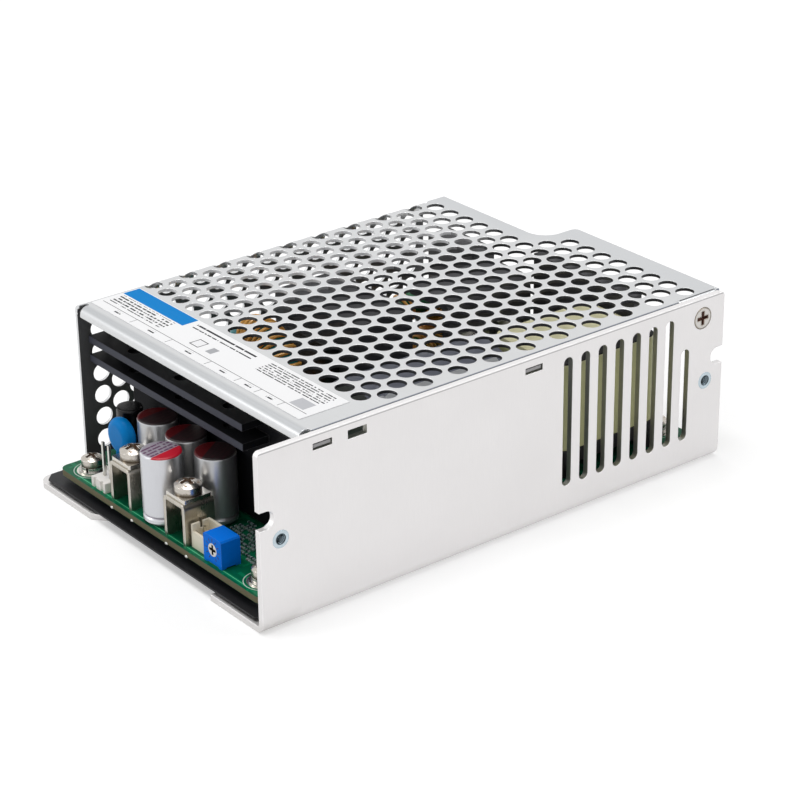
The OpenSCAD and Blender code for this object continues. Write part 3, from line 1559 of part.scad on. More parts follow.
// Bobbin: tube, two flanges and two pin rails
module transformer_bobbin() {
  flange_l = winding_l;
  flange_d = winding_d + 2 * bobbin_gap;
  z0 = core_z + core_leg + bobbin_gap;
  tube_h = window_h - 2 * bobbin_gap;
  color("#242424") {
    translate([trafo_x, trafo_y, z0]) difference() {
      union() {
        linear_extrude(tube_h) square([tube_l, tube_d], center = true);
        for (z = [0, tube_h - bobbin_t]) translate([0, 0, z])
          linear_extrude(bobbin_t) square([flange_l, flange_d], center = true);
      }
      translate([0, 0, -eps]) linear_extrude(tube_h + 2 * eps)
        square([core_mid + 2 * bobbin_gap, core_d + 2 * bobbin_gap], center = true);
    }
    for (s = [-1, 1])
      translate([trafo_x - flange_l / 2, trafo_y + s * rail_y - rail_w / 2, top_z])
        cube([flange_l, rail_w, z0 - top_z + eps]);
    leads(rail_leads, lead_d, top_z + eps);
  }
}

module transformer_winding() {
  z0 = core_z + core_leg + bobbin_gap + bobbin_t + bobbin_gap;
  color("darkgoldenrod") translate([trafo_x, trafo_y, z0])
    linear_extrude(window_h - 4 * bobbin_gap - 2 * bobbin_t) difference() {
      round_rect(winding_l, winding_d, winding_r);
      square([winding_in_l, winding_in_d], center = true);
    }
}

// Bulk capacitor lying along the case, leads bent down
module bulk_capacitor() {
  color("lightsteelblue") {
    translate([bulk_x, bulk_front, bulk_z]) rotate([-90, 0, 0]) rotate_extrude($fn = 64) polygon([
      [0, 0], [bulk_r - 2 * can_edge, 0], [bulk_r, 2 * can_edge],
      [bulk_r, bulk_groove - 2 * groove_depth], [bulk_r - groove_depth, bulk_groove],
      [bulk_r, bulk_groove + 2 * groove_depth], [bulk_r, bulk_l - 2 * can_edge],
      [bulk_r - 2 * can_edge, bulk_l], [0, bulk_l]
    ]);
    for (p = bulk_leads) {
      at(p, bulk_z) rotate([-90, 0, 0]) cylinder(d = pin_d, h = bulk_reach + eps);
      at(p, bulk_z) sphere(d = pin_d);
    }
    leads(bulk_leads, pin_d, bulk_z);
  }
}

module taped_choke() {
  color("khaki") translate([pfc_x, pfc_y, top_z + pfc_base_h])
    linear_extrude(pfc_h) round_rect(pfc_w, pfc_d, pfc_r);
}

module taped_choke_base() {
  w = pfc_w + 2 * pfc_rim;
  d = pfc_d + 2 * pfc_rim;
  color("#202020") {
    translate([pfc_x, pfc_y, top_z]) difference() {
      linear_extrude(pfc_base_h) round_rect(w, d, pfc_r);
      translate([-w, -d / 2 + rail_w + pfc_rim, -eps])
        cube([2 * w, d - 2 * (rail_w + pfc_rim), pfc_channel + eps]);
    }
    leads(pfc_leads, lead_d, top_z + eps);
  }
}

module primary_heatsink() {
  z0 = top_z + sink_foot;
  z1 = top_z + primary_h;
  ro = primary_bend_r + plate_t;
  y0 = primary_y - primary_l / 2;
  color("#555558") {
    difference() {
      along_y(y0, y0 + primary_l) {
        area([primary_x - plate_t, z0], [primary_x, z1 - ro]);
        translate([primary_x - ro, z1 - ro]) fold(primary_bend_r, ro, 1, 1);
        area([primary_x - primary_reach, z1 - plate_t], [primary_x - ro, z1]);
      }
      for (y = primary_ys) translate([primary_x + eps, y, pack_z + pack_hole_z]) rotate([0, -90, 0])
        cylinder(d = pack_screw_d + 2 * screw_gap, h = plate_t + 2 * eps);
    }
    sink_feet(primary_feet);
  }
}

module primary_transistors() {
  color("#2b2b2b") {
    for (y = primary_ys) translate([primary_x, y, pack_z]) rotate(-90) power_package();
    leads(primary_leads, lead_d, pack_z + eps);
  }
}

module transistor_screws() {
  color("lightgray") for (y = primary_ys) translate([primary_x, y, pack_z]) rotate(-90)
    package_screw(pack_tab_t + plate_t);
}

module bridge_heatsink() {
  x0 = bridge_sink_x - bridge_sink_l / 2;
  color("#555558") {
    difference() {
      translate([x0, bridge_y - plate_t, top_z + sink_foot])
        cube([bridge_sink_l, plate_t, bridge_sink_h - sink_foot]);
      translate([bridge_sink_x, bridge_y + eps, bridge_screw_z]) rotate([90, 0, 0])
        cylinder(d = pack_screw_d + 2 * screw_gap, h = plate_t + 2 * eps);
    }
    sink_feet(bridge_feet);
  }
}

module bridge_rectifier() {
  color("#262626") {
    difference() {
      along_y(bridge_y, bridge_y + bridge_t) translate([bridge_sink_x, pack_z]) polygon([
        [-bridge_w / 2, 0], [bridge_w / 2, 0], [bridge_w / 2, bridge_h],
        [-bridge_w / 2 + bridge_cut, bridge_h], [-bridge_w / 2, bridge_h - bridge_cut]
      ]);
      translate([bridge_sink_x, bridge_y - eps, bridge_screw_z]) rotate([-90, 0, 0])
        cylinder(d = pack_screw_d + 4 * screw_gap, h = bridge_t + 2 * eps);
    }
    leads(bridge_leads, pin_d, pack_z + eps);
  }
}

module bridge_screw() {
  color("lightgray") translate([bridge_sink_x, bridge_y + bridge_t, bridge_screw_z]) rotate([-90, 0, 0])
    pan_screw(pack_head_d, pack_head_h, pack_screw_d, bridge_t + plate_t);
}

module line_capacitor() {
  color("dimgray") {
    at(xcap_spot, top_z) linear_extrude(xcap_h) round_rect(xcap_l, xcap_t, can_edge);
    leads(row_x(xcap_spot, 2, xcap_lead), lead_d, top_z + eps);
  }
}

module fuse() {
  color("#3b2f2a") {
    at(fuse_spot, top_z) rotate_extrude() polygon([
      [0, 0], [fuse_d / 2, 0], [fuse_d / 2, fuse_h - can_edge], [fuse_d / 2 - can_edge, fuse_h], [0, fuse_h]
    ]);
    leads(row_x(fuse_spot, 2, fuse_d / 2), lead_d, top_z + eps);
  }
}

module inlet_header() {
  hole = inlet_pin + 2 * pin_gap;
  y0 = inlet_y - inlet_d / 2;
  color("white") translate([0, 0, top_z]) difference() {
    along_x(inlet_x - inlet_w / 2, inlet_x + inlet_w / 2) polygon([
      [y0, 0], [y0 + inlet_d, 0], [y0 + inlet_d, inlet_foot], [y0 + inlet_wall, inlet_foot],
      [y0 + inlet_wall, inlet_h], [y0, inlet_h]
    ]);
    for (p = inlet_pins_at) translate([p[0] - hole / 2, p[1] - hole / 2, -eps])
      cube([hole, hole, inlet_foot + 2 * eps]);
  }
}

module inlet_pins() {
  color("silver") square_pins(inlet_pins_at, inlet_pin, top_z + inlet_pin_h);
}

chassis();
cover();
side_bushes();
cover_screws();
rating_label();
insulation_film();
standoffs();
board();
board_screws();
flat_washers();
spring_washers();
output_terminal_far();
output_terminal_near();
square_washers();
terminal_screws();
output_capacitor_front();
output_capacitor_1();
output_capacitor_2();
output_capacitor_3();
standby_capacitor();
disc_capacitor();
sense_header();
sense_pins();
signal_connector();
signal_pins();
trimmer_body();
trimmer_rotor();
chip_parts();
output_heatsink();
output_rectifiers();
rectifier_screws();
output_choke_core();
output_choke_winding();
output_choke_base();
transformer_core();
transformer_bobbin();
transformer_winding();
bulk_capacitor();
taped_choke();
taped_choke_base();
line_choke_core();
line_choke_windings();
line_choke_base();
primary_heatsink();
primary_transistors();
transistor_screws();
bridge_heatsink();
bridge_rectifier();
bridge_screw();
line_capacitor();
fuse();
thermistor();
varistor();
inlet_header();
inlet_pins();
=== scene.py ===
"""Look of an enclosed switching power supply.

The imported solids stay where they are, and each gets a finish made of shader nodes. Pieces that a solid
only stands in for, such as wound wire, threads and small board parts, are surfaces worked out here.
Lengths are millimetres until a mesh is made, and metres in Blender.
"""

from __future__ import annotations

import logging
import math
from dataclasses import dataclass, replace
from enum import Enum
from typing import Sequence, Union

import bmesh
import bpy
import numpy as np
from mathutils import Matrix, Vector

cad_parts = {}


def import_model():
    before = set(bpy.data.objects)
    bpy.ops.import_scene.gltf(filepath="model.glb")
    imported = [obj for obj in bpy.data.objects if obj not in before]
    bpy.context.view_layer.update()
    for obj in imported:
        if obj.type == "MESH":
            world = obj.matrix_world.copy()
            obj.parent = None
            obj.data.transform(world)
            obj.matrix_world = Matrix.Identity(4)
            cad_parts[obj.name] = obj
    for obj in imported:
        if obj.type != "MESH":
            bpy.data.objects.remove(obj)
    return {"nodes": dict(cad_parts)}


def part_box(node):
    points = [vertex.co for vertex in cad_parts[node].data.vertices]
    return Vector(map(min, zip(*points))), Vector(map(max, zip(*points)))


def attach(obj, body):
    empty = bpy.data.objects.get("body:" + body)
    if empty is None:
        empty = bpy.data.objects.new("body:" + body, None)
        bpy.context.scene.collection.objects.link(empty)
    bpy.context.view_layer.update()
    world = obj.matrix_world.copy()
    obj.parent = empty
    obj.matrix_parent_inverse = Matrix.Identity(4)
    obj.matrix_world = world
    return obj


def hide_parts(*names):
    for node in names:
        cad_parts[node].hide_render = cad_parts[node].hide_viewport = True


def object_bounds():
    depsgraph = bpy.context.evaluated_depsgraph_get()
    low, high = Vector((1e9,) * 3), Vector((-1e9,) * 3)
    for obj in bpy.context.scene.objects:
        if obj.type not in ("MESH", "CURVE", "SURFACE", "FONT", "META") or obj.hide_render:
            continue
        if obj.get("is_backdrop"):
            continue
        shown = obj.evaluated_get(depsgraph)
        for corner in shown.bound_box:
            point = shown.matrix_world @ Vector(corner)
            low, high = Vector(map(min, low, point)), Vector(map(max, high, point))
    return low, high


LOG = logging.getLogger("power_supply")
MM = 0.001
SUPPLY = "supply"
SHARP_ANGLE = math.radians(38)

# Half size of a field that spans the whole object, and half depth of one that lies beyond a level
REACH = 200.0
DEPTH = 50.0
# Inner radius of a ring field that is a full disc
NO_HOLE = -1.0

Point = tuple[float, float, float]
Colour = tuple[float, float, float]
Patch = tuple[float, float, float, float]
Feed = Union[bpy.types.NodeSocket, float, Sequence[float]]


def screen(red: int, green: int, blue: int) -> Colour:
    """Turns an 8-bit screen colour into the linear one that shaders take.

    Args:
        red: Red, 0 to 255.
        green: Green, 0 to 255.
        blue: Blue, 0 to 255.

    Returns:
        The linear colour, 0 to 1.
    """
    shares = np.array([red, green, blue]) / 255.0
    curve = np.where(shares <= 0.04045, shares / 12.92, ((shares + 0.055) / 1.055) ** 2.4)
    return tuple(float(c) for c in curve)


# Surfaces


@dataclass
class Surface:
    """Points and quads of one mesh, in millimetres."""

    points: np.ndarray
    faces: np.ndarray

    def turned(self, matrix: Matrix) -> "Surface":
        """The surface turned and moved by a 4 x 4 matrix."""
        m = np.array(matrix)
        return Surface(self.points @ m[:3, :3].T + m[:3, 3], self.faces)

    def moved(self, by: Sequence[float]) -> "Surface":
        """The surface shifted by a vector."""
        return Surface(self.points + np.asarray(by, float), self.faces)

    def repeated(self, places: np.ndarray) -> "Surface":
        """Copies of the surface, one at each place.

        Args:
            places: Array of shape (n, 3), the shift of each copy.

        Returns:
            All the copies as one surface.
        """
        count = len(self.points)
        points = (self.points[None] + places[:, None]).reshape(-1, 3)
        faces = (self.faces[None] + count * np.arange(len(places))[:, None, None]).reshape(-1, 4)
        return Surface(points, faces)


def joined(parts: Sequence[Surface]) -> Surface:
    """Several surfaces as one, with the faces of each counted on from the last.

    Args:
        parts: The surfaces.

    Returns:
        All of them as one surface.
    """
    starts = np.cumsum([0] + [len(p.points) for p in parts[:-1]])
    faces = np.vstack([p.faces + s for p, s in zip(parts, starts)])
    return Surface(np.vstack([p.points for p in parts]), faces)


def grid_surface(points: np.ndarray, wrap_rows: bool = False, wrap_cols: bool = True) -> Surface:
    """Joins a grid of points into quads: (i, j) with (i+1, j), (i+1, j+1) and (i, j+1).

    Args:
        points: Array of shape (rows, cols, 3).
        wrap_rows: The last row meets the first one again.
        wrap_cols: The last column meets the first one again.

    Returns:
        The surface with one quad for each cell of the grid.
    """
    rows, cols = points.shape[:2]
    i, j = np.meshgrid(
        np.arange(rows if wrap_rows else rows - 1),
        np.arange(cols if wrap_cols else cols - 1),
        indexing="ij",
    )
    i2, j2 = (i + 1) % rows, (j + 1) % cols
    quads = np.stack([i * cols + j, i2 * cols + j, i2 * cols + j2, i * cols + j2], axis=-1)
    return Surface(points.reshape(-1, 3), quads.reshape(-1, 4))


def circle(sides: int) -> np.ndarray:
    """Even angles once round a circle."""
    return np.linspace(0, 2 * np.pi, sides, endpoint=False)


def thread_saw(along: np.ndarray, angles: np.ndarray, pitch: float) -> np.ndarray:
    """Height of a thread from 0 to 1: |2 frac(along / pitch - angle / full turn) - 1|."""
    return np.abs(((along / pitch - angles / (2 * np.pi)) % 1.0) * 2 - 1)


def tube_surface(path: np.ndarray, normals: np.ndarray, radius: float, sides: int) -> Surface:
    """A round profile carried along a path: p + r (cos a n + sin a b), with b = tangent x n.

    The first and last rings shrink to the path's ends, so the tube is closed.

    Args:
        path: Array of shape (n, 3).
        normals: Unit vectors across the path, one for each point.
        radius: Radius of the profile.
        sides: Points round the profile.

    Returns:
        The closed tube.
    """
    tangents = np.gradient(path, axis=0)
    tangents /= np.linalg.norm(tangents, axis=1, keepdims=True)
    across = normals - (normals * tangents).sum(1, keepdims=True) * tangents
    across /= np.linalg.norm(across, axis=1, keepdims=True)
    binormals = np.cross(tangents, across)
    ends = np.r_[0, np.arange(len(path)), len(path) - 1]
    radii = np.full(len(ends), radius)
    radii[[0, -1]] = 0.0
    angles = circle(sides)
    spokes = (
        np.cos(angles)[None, :, None] * across[ends][:, None]
        + np.sin(angles)[None, :, None] * binormals[ends][:, None]
    )
    return grid_surface(path[ends][:, None] + radii[:, None, None] * spokes)


def soft_block(half: Sequence[float], power: float, rows: int, cols: int) -> Surface:
    """A block with rounded edges: the superquadric (a C(u) C(v), b C(u) S(v), c S(u)).

    C and S are the cosine and sine raised to a power with their sign kept. A power of 1 is an
    ellipsoid, and a small power is nearly a box.

    Args:
        half: Half sizes along X, Y and Z.
        power: Roundness, from near 0 for a box to 1 for an ellipsoid.
        rows: Points from the bottom to the top.
        cols: Points round the middle.

    Returns:
        The closed block about the origin.
    """

    def raised(wave: np.ndarray) -> np.ndarray:
        """A wave raised to the power, with its sign kept."""
        return np.sign(wave) * np.abs(wave) ** power

    u = np.linspace(-np.pi / 2, np.pi / 2, rows)[:, None]
    v = (np.arange(cols) + 0.5) * 2 * np.pi / cols
    ring = raised(np.where(np.abs(np.cos(u)) < 1e-9, 0.0, np.cos(u)))
    x, y = half[0] * ring * raised(np.cos(v)), half[1] * ring * raised(np.sin(v))
    return grid_surface(np.stack([x, y, half[2] * raised(np.sin(u)) + 0 * v], axis=-1))


# Node graphs


class Graph:
    """A shader node tree with short calls that add nodes and feed their sockets."""

    def __init__(self, tree: bpy.types.NodeTree) -> None:
        """Keeps the tree that nodes are added to."""
        self.tree = tree

    def add(self, kind: str, feeds: dict[str | int, Feed] | None = None,
            **settings: object) -> bpy.types.Node:
        """Adds a node.

        Args:
            kind: Type of node, without its ShaderNode prefix.
            feeds: What each input takes: another node's socket, a number or a tuple.
            **settings: Properties of the node.

        Returns:
            The node.
        """
        node = self.tree.nodes.new("ShaderNode" + kind)
        for name, value in settings.items():
            setattr(node, name, value)
        for key, feed in (feeds or {}).items():
            self.feed(node.inputs[key], feed)
        return node

    def feed(self, socket: bpy.types.NodeSocket, feed: Feed) -> None:
        """Links a socket to another one, or sets its own value.

        Args:
            socket: The input socket.
            feed: Another node's socket, a number, or a tuple.
        """
        if isinstance(feed, bpy.types.NodeSocket):
            self.tree.links.new(feed, socket)
        elif socket.type == "RGBA" and len(feed) == 3:
            socket.default_value = (*feed, 1.0)
        else:
            socket.default_value = feed

    def math(self, operation: str, a: Feed, b: Feed = 0.0) -> bpy.types.NodeSocket:
        """The result of a Math node on two values."""
        return self.add("Math", {0: a, 1: b}, operation=operation).outputs[0]

    def vector(self, operation: str, a: Feed, b: Feed = (0, 0, 0)) -> bpy.types.NodeSocket:
        """The vector result of a Vector Math node on two vectors."""
        return self.add("VectorMath", {0: a, 1: b}, operation=operation).outputs["Vector"]

    def measure(self, operation: str, a: Feed, b: Feed = (0, 0, 0)) -> bpy.types.NodeSocket:
        """The number that a Vector Math node works out from two vectors, such as a length."""
        return self.add("VectorMath", {0: a, 1: b}, operation=operation).outputs["Value"]

    def tint(self, mask: Feed, a: Feed, b: Feed) -> bpy.types.NodeSocket:
        """A colour that goes from a to b with a mask."""
        return self.add("Mix", {0: mask, 6: a, 7: b}, data_type="RGBA").outputs[2]

    def blend(self, mask: Feed, a: Feed, b: Feed) -> bpy.types.NodeSocket:
        """A value that goes from a to b with a mask."""
        return self.add("Mix", {0: mask, 2: a, 3: b}, data_type="FLOAT").outputs[0]

    def span(self, value: Feed, low: Feed, high: Feed) -> bpy.types.NodeSocket:
        """A value spread from 0 at low to 1 at high, and held there."""
        return self.add("MapRange", {"Value": value, "From Min": low, "From Max": high}).outputs[0]

    def noise(self, place: Feed, scale: Feed, detail: float) -> bpy.types.NodeSocket:
        """Noise of about 0 to 1 at a place."""
        return self.add("TexNoise", {"Vector": place, "Scale": scale, "Detail": detail}).outputs["Fac"]

    def group(self, tree: bpy.types.NodeTree, feeds: dict[str, Feed]) -> bpy.types.Node:
        """Places a shared effect in this tree and feeds its inputs.

        Args:
            tree: The shared node group.
            feeds: What each of its inputs takes.

        Returns:
            The group's node.
        """
        node = self.add("Group")
        node.node_tree = tree
        for key, feed in feeds.items():
            self.feed(node.inputs[key], feed)
        return node


class Effects:
    """Shader node groups that several finishes share, each built once."""

    grain_detail: float = 4.0
    grain_span: tuple[float, float] = (0.25, 0.75)
    patch_detail: float = 3.0
    patch_span: tuple[float, float] = (0.3, 0.7)
    row_step: float = 7.3
    edge_samples: int = 6
    edge_facing: tuple[float, float] = (0.995, 0.85)

    def __init__(self) -> None:
        """Builds the groups."""
        self.grain = self._grain()
        self.block = self._block()
        self.ring = self._ring()
        self.dashes = self._dashes()
        self.edge = self._edge()

    @staticmethod
    def _new(name: str, inputs: dict[str, str], outputs: dict[str, str]) -> tuple[Graph, dict, dict]:
        """Makes an empty group.

        Args:
            name: Name of the group.
            inputs: Type of each named input socket.
            outputs: Type of each named output socket.

        Returns:
            The group's graph, its input sockets and its output sockets.
        """
        tree = bpy.data.node_groups.new(name, "ShaderNodeTree")
        for label, kind in inputs.items():
            tree.interface.new_socket(name=label, in_out="INPUT", socket_type="NodeSocket" + kind)
        for label, kind in outputs.items():
            tree.interface.new_socket(name=label, in_out="OUTPUT", socket_type="NodeSocket" + kind)
        source = tree.nodes.new("NodeGroupInput")
        sink = tree.nodes.new("NodeGroupOutput")
        return Graph(tree), source.outputs, sink.inputs

    def _grain(self) -> bpy.types.NodeTree:
        """Fine grain stretched along an axis, with broad patches under it.

        Returns:
            The group, with the grain and the patches from 0 to 1.
        """
        g, inp, out = self._new(
            "grain",
            {"Place": "Vector", "Stretch": "Vector", "Patch": "Float"},
            {"Grain": "Float", "Patches": "Float"},
        )
        fine = g.noise(g.vector("MULTIPLY", inp["Place"], inp["Stretch"]), 1.0, self.grain_detail)
        broad = g.noise(inp["Place"], inp["Patch"], self.patch_detail)
        g.feed(out["Grain"], g.span(fine, *self.grain_span))
        g.feed(out["Patches"], g.span(broad, *self.patch_span))
        return g.tree

    def _block(self) -> bpy.types.NodeTree:
        """Mask of a box that may be turned about Z: 1 inside, 0 outside, with a soft rim.

        Returns:
            The group.
        """
        g, inp, out = self._new(
            "block_field",
            {"Place": "Vector", "Middle": "Vector", "Half": "Vector", "Turn": "Float", "Soft": "Float"},
            {"Mask": "Float"},
        )
        from_middle = g.vector("SUBTRACT", inp["Place"], inp["Middle"])
        angle = g.math("MULTIPLY", inp["Turn"], -1.0)
        turned = g.add(
            "VectorRotate", {"Vector": from_middle, "Angle": angle}, rotation_type="Z_AXIS"
        ).outputs[0]
        over = g.vector("SUBTRACT", g.vector("ABSOLUTE", turned), inp["Half"])
        split = g.add("SeparateXYZ", {0: over}).outputs
        outside = g.math("MAXIMUM", g.math("MAXIMUM", split[0], split[1]), split[2])
        g.feed(out["Mask"], g.span(outside, inp["Soft"], g.math("MULTIPLY", inp["Soft"], -1.0)))
        return g.tree

    def _ring(self) -> bpy.types.NodeTree:
        """Mask of a ring about an axis: 1 between two radii, with a soft rim.

        Returns:
            The group.
        """
        g, inp, out = self._new(
            "ring_field",
            {"Place": "Vector", "Middle": "Vector", "Flat": "Vector", "Inner": "Float", "Outer": "Float",
             "Soft": "Float"},
            {"Mask": "Float"},
        )
        flat = g.vector("MULTIPLY", g.vector("SUBTRACT", inp["Place"], inp["Middle"]), inp["Flat"])
        reach = g.measure("LENGTH", flat)
        outside = g.math(
            "MAXIMUM", g.math("SUBTRACT", reach, inp["Outer"]), g.math("SUBTRACT", inp["Inner"], reach)
        )
        g.feed(out["Mask"], g.span(outside, inp["Soft"], g.math("MULTIPLY", inp["Soft"], -1.0)))
        return g.tree

    def _dashes(self) -> bpy.types.NodeTree:
        """Mask of rows of short dashes: rows by the fraction of v, dashes by noise along u.

        Returns:
            The group.
        """
        g, inp, out = self._new(
            "dashes",
            {"Place": "Vector", "Along": "Vector", "Across": "Vector", "Pitch": "Float", "Width": "Float",
             "Fill": "Float", "Rate": "Float"},
            {"Mask": "Float"},
        )
        v = g.measure("DOT_PRODUCT", inp["Place"], inp["Across"])
        u = g.measure("DOT_PRODUCT", inp["Place"], inp["Along"])
        row = g.math("DIVIDE", v, inp["Pitch"])
        off = g.math("ABSOLUTE", g.math("SUBTRACT", g.math("FRACT", row), 0.5))
        reach = g.math("DIVIDE", g.math("MULTIPLY", inp["Width"], 0.5), inp["Pitch"])
        in_row = g.math("LESS_THAN", off, reach)
        step = g.math("MULTIPLY", g.math("FLOOR", row), self.row_step)
        spot = g.add("CombineXYZ", {0: g.math("MULTIPLY", u, inp["Rate"]), 1: step}).outputs[0]
        broken = g.math("LESS_THAN", g.noise(spot, 1.0, 1.0), inp["Fill"])
        g.feed(out["Mask"], g.math("MULTIPLY", in_row, broken))
        return g.tree

    def _edge(self) -> bpy.types.NodeTree:
        """Rounded shading at sharp edges, with a mask of where the edge is.

        Returns:
            The group.
        """
        g, inp, out = self._new("soft_edge", {"Radius": "Float"}, {"Normal": "Vector", "Mask": "Float"})
        bevel = g.add("Bevel", {"Radius": inp["Radius"]}, samples=self.edge_samples).outputs[0]
        facing = g.measure("DOT_PRODUCT", bevel, g.add("NewGeometry").outputs["True Normal"])
        g.feed(out["Normal"], bevel)
        g.feed(out["Mask"], g.span(facing, *self.edge_facing))
        return g.tree


class Grain(Enum):
    """How the grain of a finish runs, as grains for each millimetre along X, Y and Z."""

    ROLLED = (0.25, 9.0, 9.0)
    UPRIGHT = (7.0, 7.0, 0.3)
    EVEN = (5.0, 5.0, 5.0)
    COARSE = (2.0, 2.0, 2.0)
    WOUND = (0.8, 0.8, 14.0)


# How far the patches and the painted edge light of a finish show, and the glossiest that it gets
PATCH_SHARE = 0.5
PAINTED_EDGE_SHARE = 0.7
LEAST_ROUGHNESS = 0.03


class Shape(Enum):
    """The outline of a field that is laid over a finish."""

    BLOCK = "block"
    RING = "ring"
    DASHES = "dashes"


@dataclass(frozen=True)
class Field:
    """Part of a surface that has another colour or gloss.

    A BLOCK is a box about middle, turned about Z. A RING lies about an axis through middle, from half[0]
    to half[1] across the directions that flat keeps. DASHES fill a block with rows of short dashes.
    """

    middle: Point
    half: Point
    colour: Colour
    roughness: float
    metallic: float = 0.0
    shape: Shape = Shape.BLOCK
    turn: float = 0.0
    soft: float = 0.03
    pitch: float = 1.0
    width: float = 0.4
    fill: float = 0.55
    rate: float = 0.9
    along: Point = (1.0, 0.0, 0.0)
    across: Point = (0.0, 1.0, 0.0)
    flat: Point = (1.0, 1.0, 0.0)

    def mask(self, g: Graph, effects: Effects, place: bpy.types.NodeSocket) -> bpy.types.NodeSocket:
        """Adds the nodes that mask this field.

        Args:
            g: Graph of the material.
            effects: The shared node groups.
            place: Place on the object, in millimetres.

        Returns:
            The mask's socket.
        """
        if self.shape is Shape.RING:
            feeds = {"Place": place, "Middle": self.middle, "Flat": self.flat, "Inner": self.half[0],
                     "Outer": self.half[1], "Soft": self.soft}
            return g.group(effects.ring, feeds).outputs["Mask"]
        feeds = {"Place": place, "Middle": self.middle, "Half": self.half, "Turn": math.radians(self.turn),
                 "Soft": self.soft}
        block = g.group(effects.block, feeds).outputs["Mask"]
        if self.shape is Shape.BLOCK:
            return block
        feeds = {"Place": place, "Along": self.along, "Across": self.across, "Pitch": self.pitch,
                 "Width": self.width, "Fill": self.fill, "Rate": self.rate}
        return g.math("MULTIPLY", block, g.group(effects.dashes, feeds).outputs["Mask"])


@dataclass(frozen=True)
class Finish:
    """A surface finish: colour, gloss, grain, painted light at the edges and the fields laid over it."""

    name: str
    colour: Colour
    roughness: float
    metallic: float = 0.0
    grain: Grain = Grain.EVEN
    tone: float = 0.08
    patch: float = 0.06
    patch_size: float = 0.12
    gloss: float = 0.08
    bump: float = 0.004
    edge: float = 0.12
    # Painted highlight at the edges, as a share towards white; below 0 it is painted shade.
    painted_edge_light: float = 0.15
    coat: float = 0.0
    specular: float = 0.5
    fields: tuple[Field, ...] = ()

    def material(self, effects: Effects) -> bpy.types.Material:
        """Builds the material.

        Args:
            effects: The shared node groups.

        Returns:
            A material whose colour, gloss and bump follow the grain, the edges and the fields, with painted
            edge light in the colour.
        """
        material = bpy.data.materials.new(self.name)
        material.use_nodes = True
        g = Graph(material.node_tree)
        shader = g.tree.nodes["Principled BSDF"]
        shader.inputs["Coat Weight"].default_value = self.coat
        shader.inputs["Specular IOR Level"].default_value = self.specular
        coords = g.add("TexCoord").outputs["Object"]
        place = g.add("Mapping", {"Vector": coords, "Scale": (1 / MM,) * 3}).outputs[0]
        feeds = {"Place": place, "Stretch": self.grain.value, "Patch": self.patch_size}
        grain = g.group(effects.grain, feeds)
        edge = g.group(effects.edge, {"Radius": self.edge * MM})
        dark = tuple(c * (1 - self.tone) for c in self.colour)
        colour = g.tint(grain.outputs["Grain"], dark, self.colour)
        shade = tuple(c * (1 - self.patch) for c in self.colour)
        colour = g.tint(g.math("MULTIPLY", grain.outputs["Patches"], PATCH_SHARE), colour, shade)
        # Painted edge light: a highlight at the edges, darkening instead where the setting is below 0.
        light = tuple(max(c + (1 - c) * self.painted_edge_light, 0.0) for c in self.colour)
        colour = g.tint(g.math("MULTIPLY", edge.outputs["Mask"], PAINTED_EDGE_SHARE), colour, light)
        swing = g.math("ADD", g.math("MULTIPLY", grain.outputs["Grain"], 0.5),
                       g.math("MULTIPLY", grain.outputs["Patches"], 0.5))
        glossy = max(self.roughness - self.gloss, LEAST_ROUGHNESS)
        roughness = g.blend(swing, glossy, self.roughness + self.gloss)
        metallic: Feed = self.metallic
        for field in self.fields:
            mask = field.mask(g, effects, place)
            colour = g.tint(mask, colour, field.colour)
            roughness = g.blend(mask, roughness, field.roughness)
            if field.metallic != self.metallic or isinstance(metallic, bpy.types.NodeSocket):
                metallic = g.blend(mask, metallic, field.metallic)
        bump = g.add("Bump", {"Height": grain.outputs["Grain"], "Distance": self.bump * MM, "Strength": 1.0,
                              "Normal": edge.outputs["Normal"]})
        g.feed(shader.inputs["Base Color"], colour)
        g.feed(shader.inputs["Roughness"], roughness)
        g.feed(shader.inputs["Metallic"], metallic)
        g.feed(shader.inputs["Normal"], bump.outputs["Normal"])
        return material


# Colours of the metals
SATIN_METAL = screen(228, 226, 226)
BRUSHED_METAL = screen(213, 214, 215)
TIN = screen(222, 219, 211)


@dataclass(frozen=True)
class NodeBox:
    """Lowest and highest corner of a solid at rest, in millimetres."""

    low: Point
    high: Point

    @classmethod
    def of(cls, node: str) -> "NodeBox":
        """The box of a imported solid."""
        low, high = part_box(node)
        return cls(tuple(c / MM for c in low), tuple(c / MM for c in high))

    def corners(self, inset: float) -> list[tuple[float, float]]:
        """Four places in plan, each set in from a corner of the box along X and Y."""
        xs, ys = ((a + inset, b - inset) for a, b in zip(self.low[:2], self.high[:2]))
        return [(x, y) for x in xs for y in ys]

    @property
    def middle(self) -> Point:
        """The middle of the box."""
        return tuple(a + (b - a) * 0.5 for a, b in zip(self.low, self.high))

    @property
    def size(self) -> Point:
        """The sizes of the box along X, Y and Z."""
        return tuple(b - a for a, b in zip(self.low, self.high))


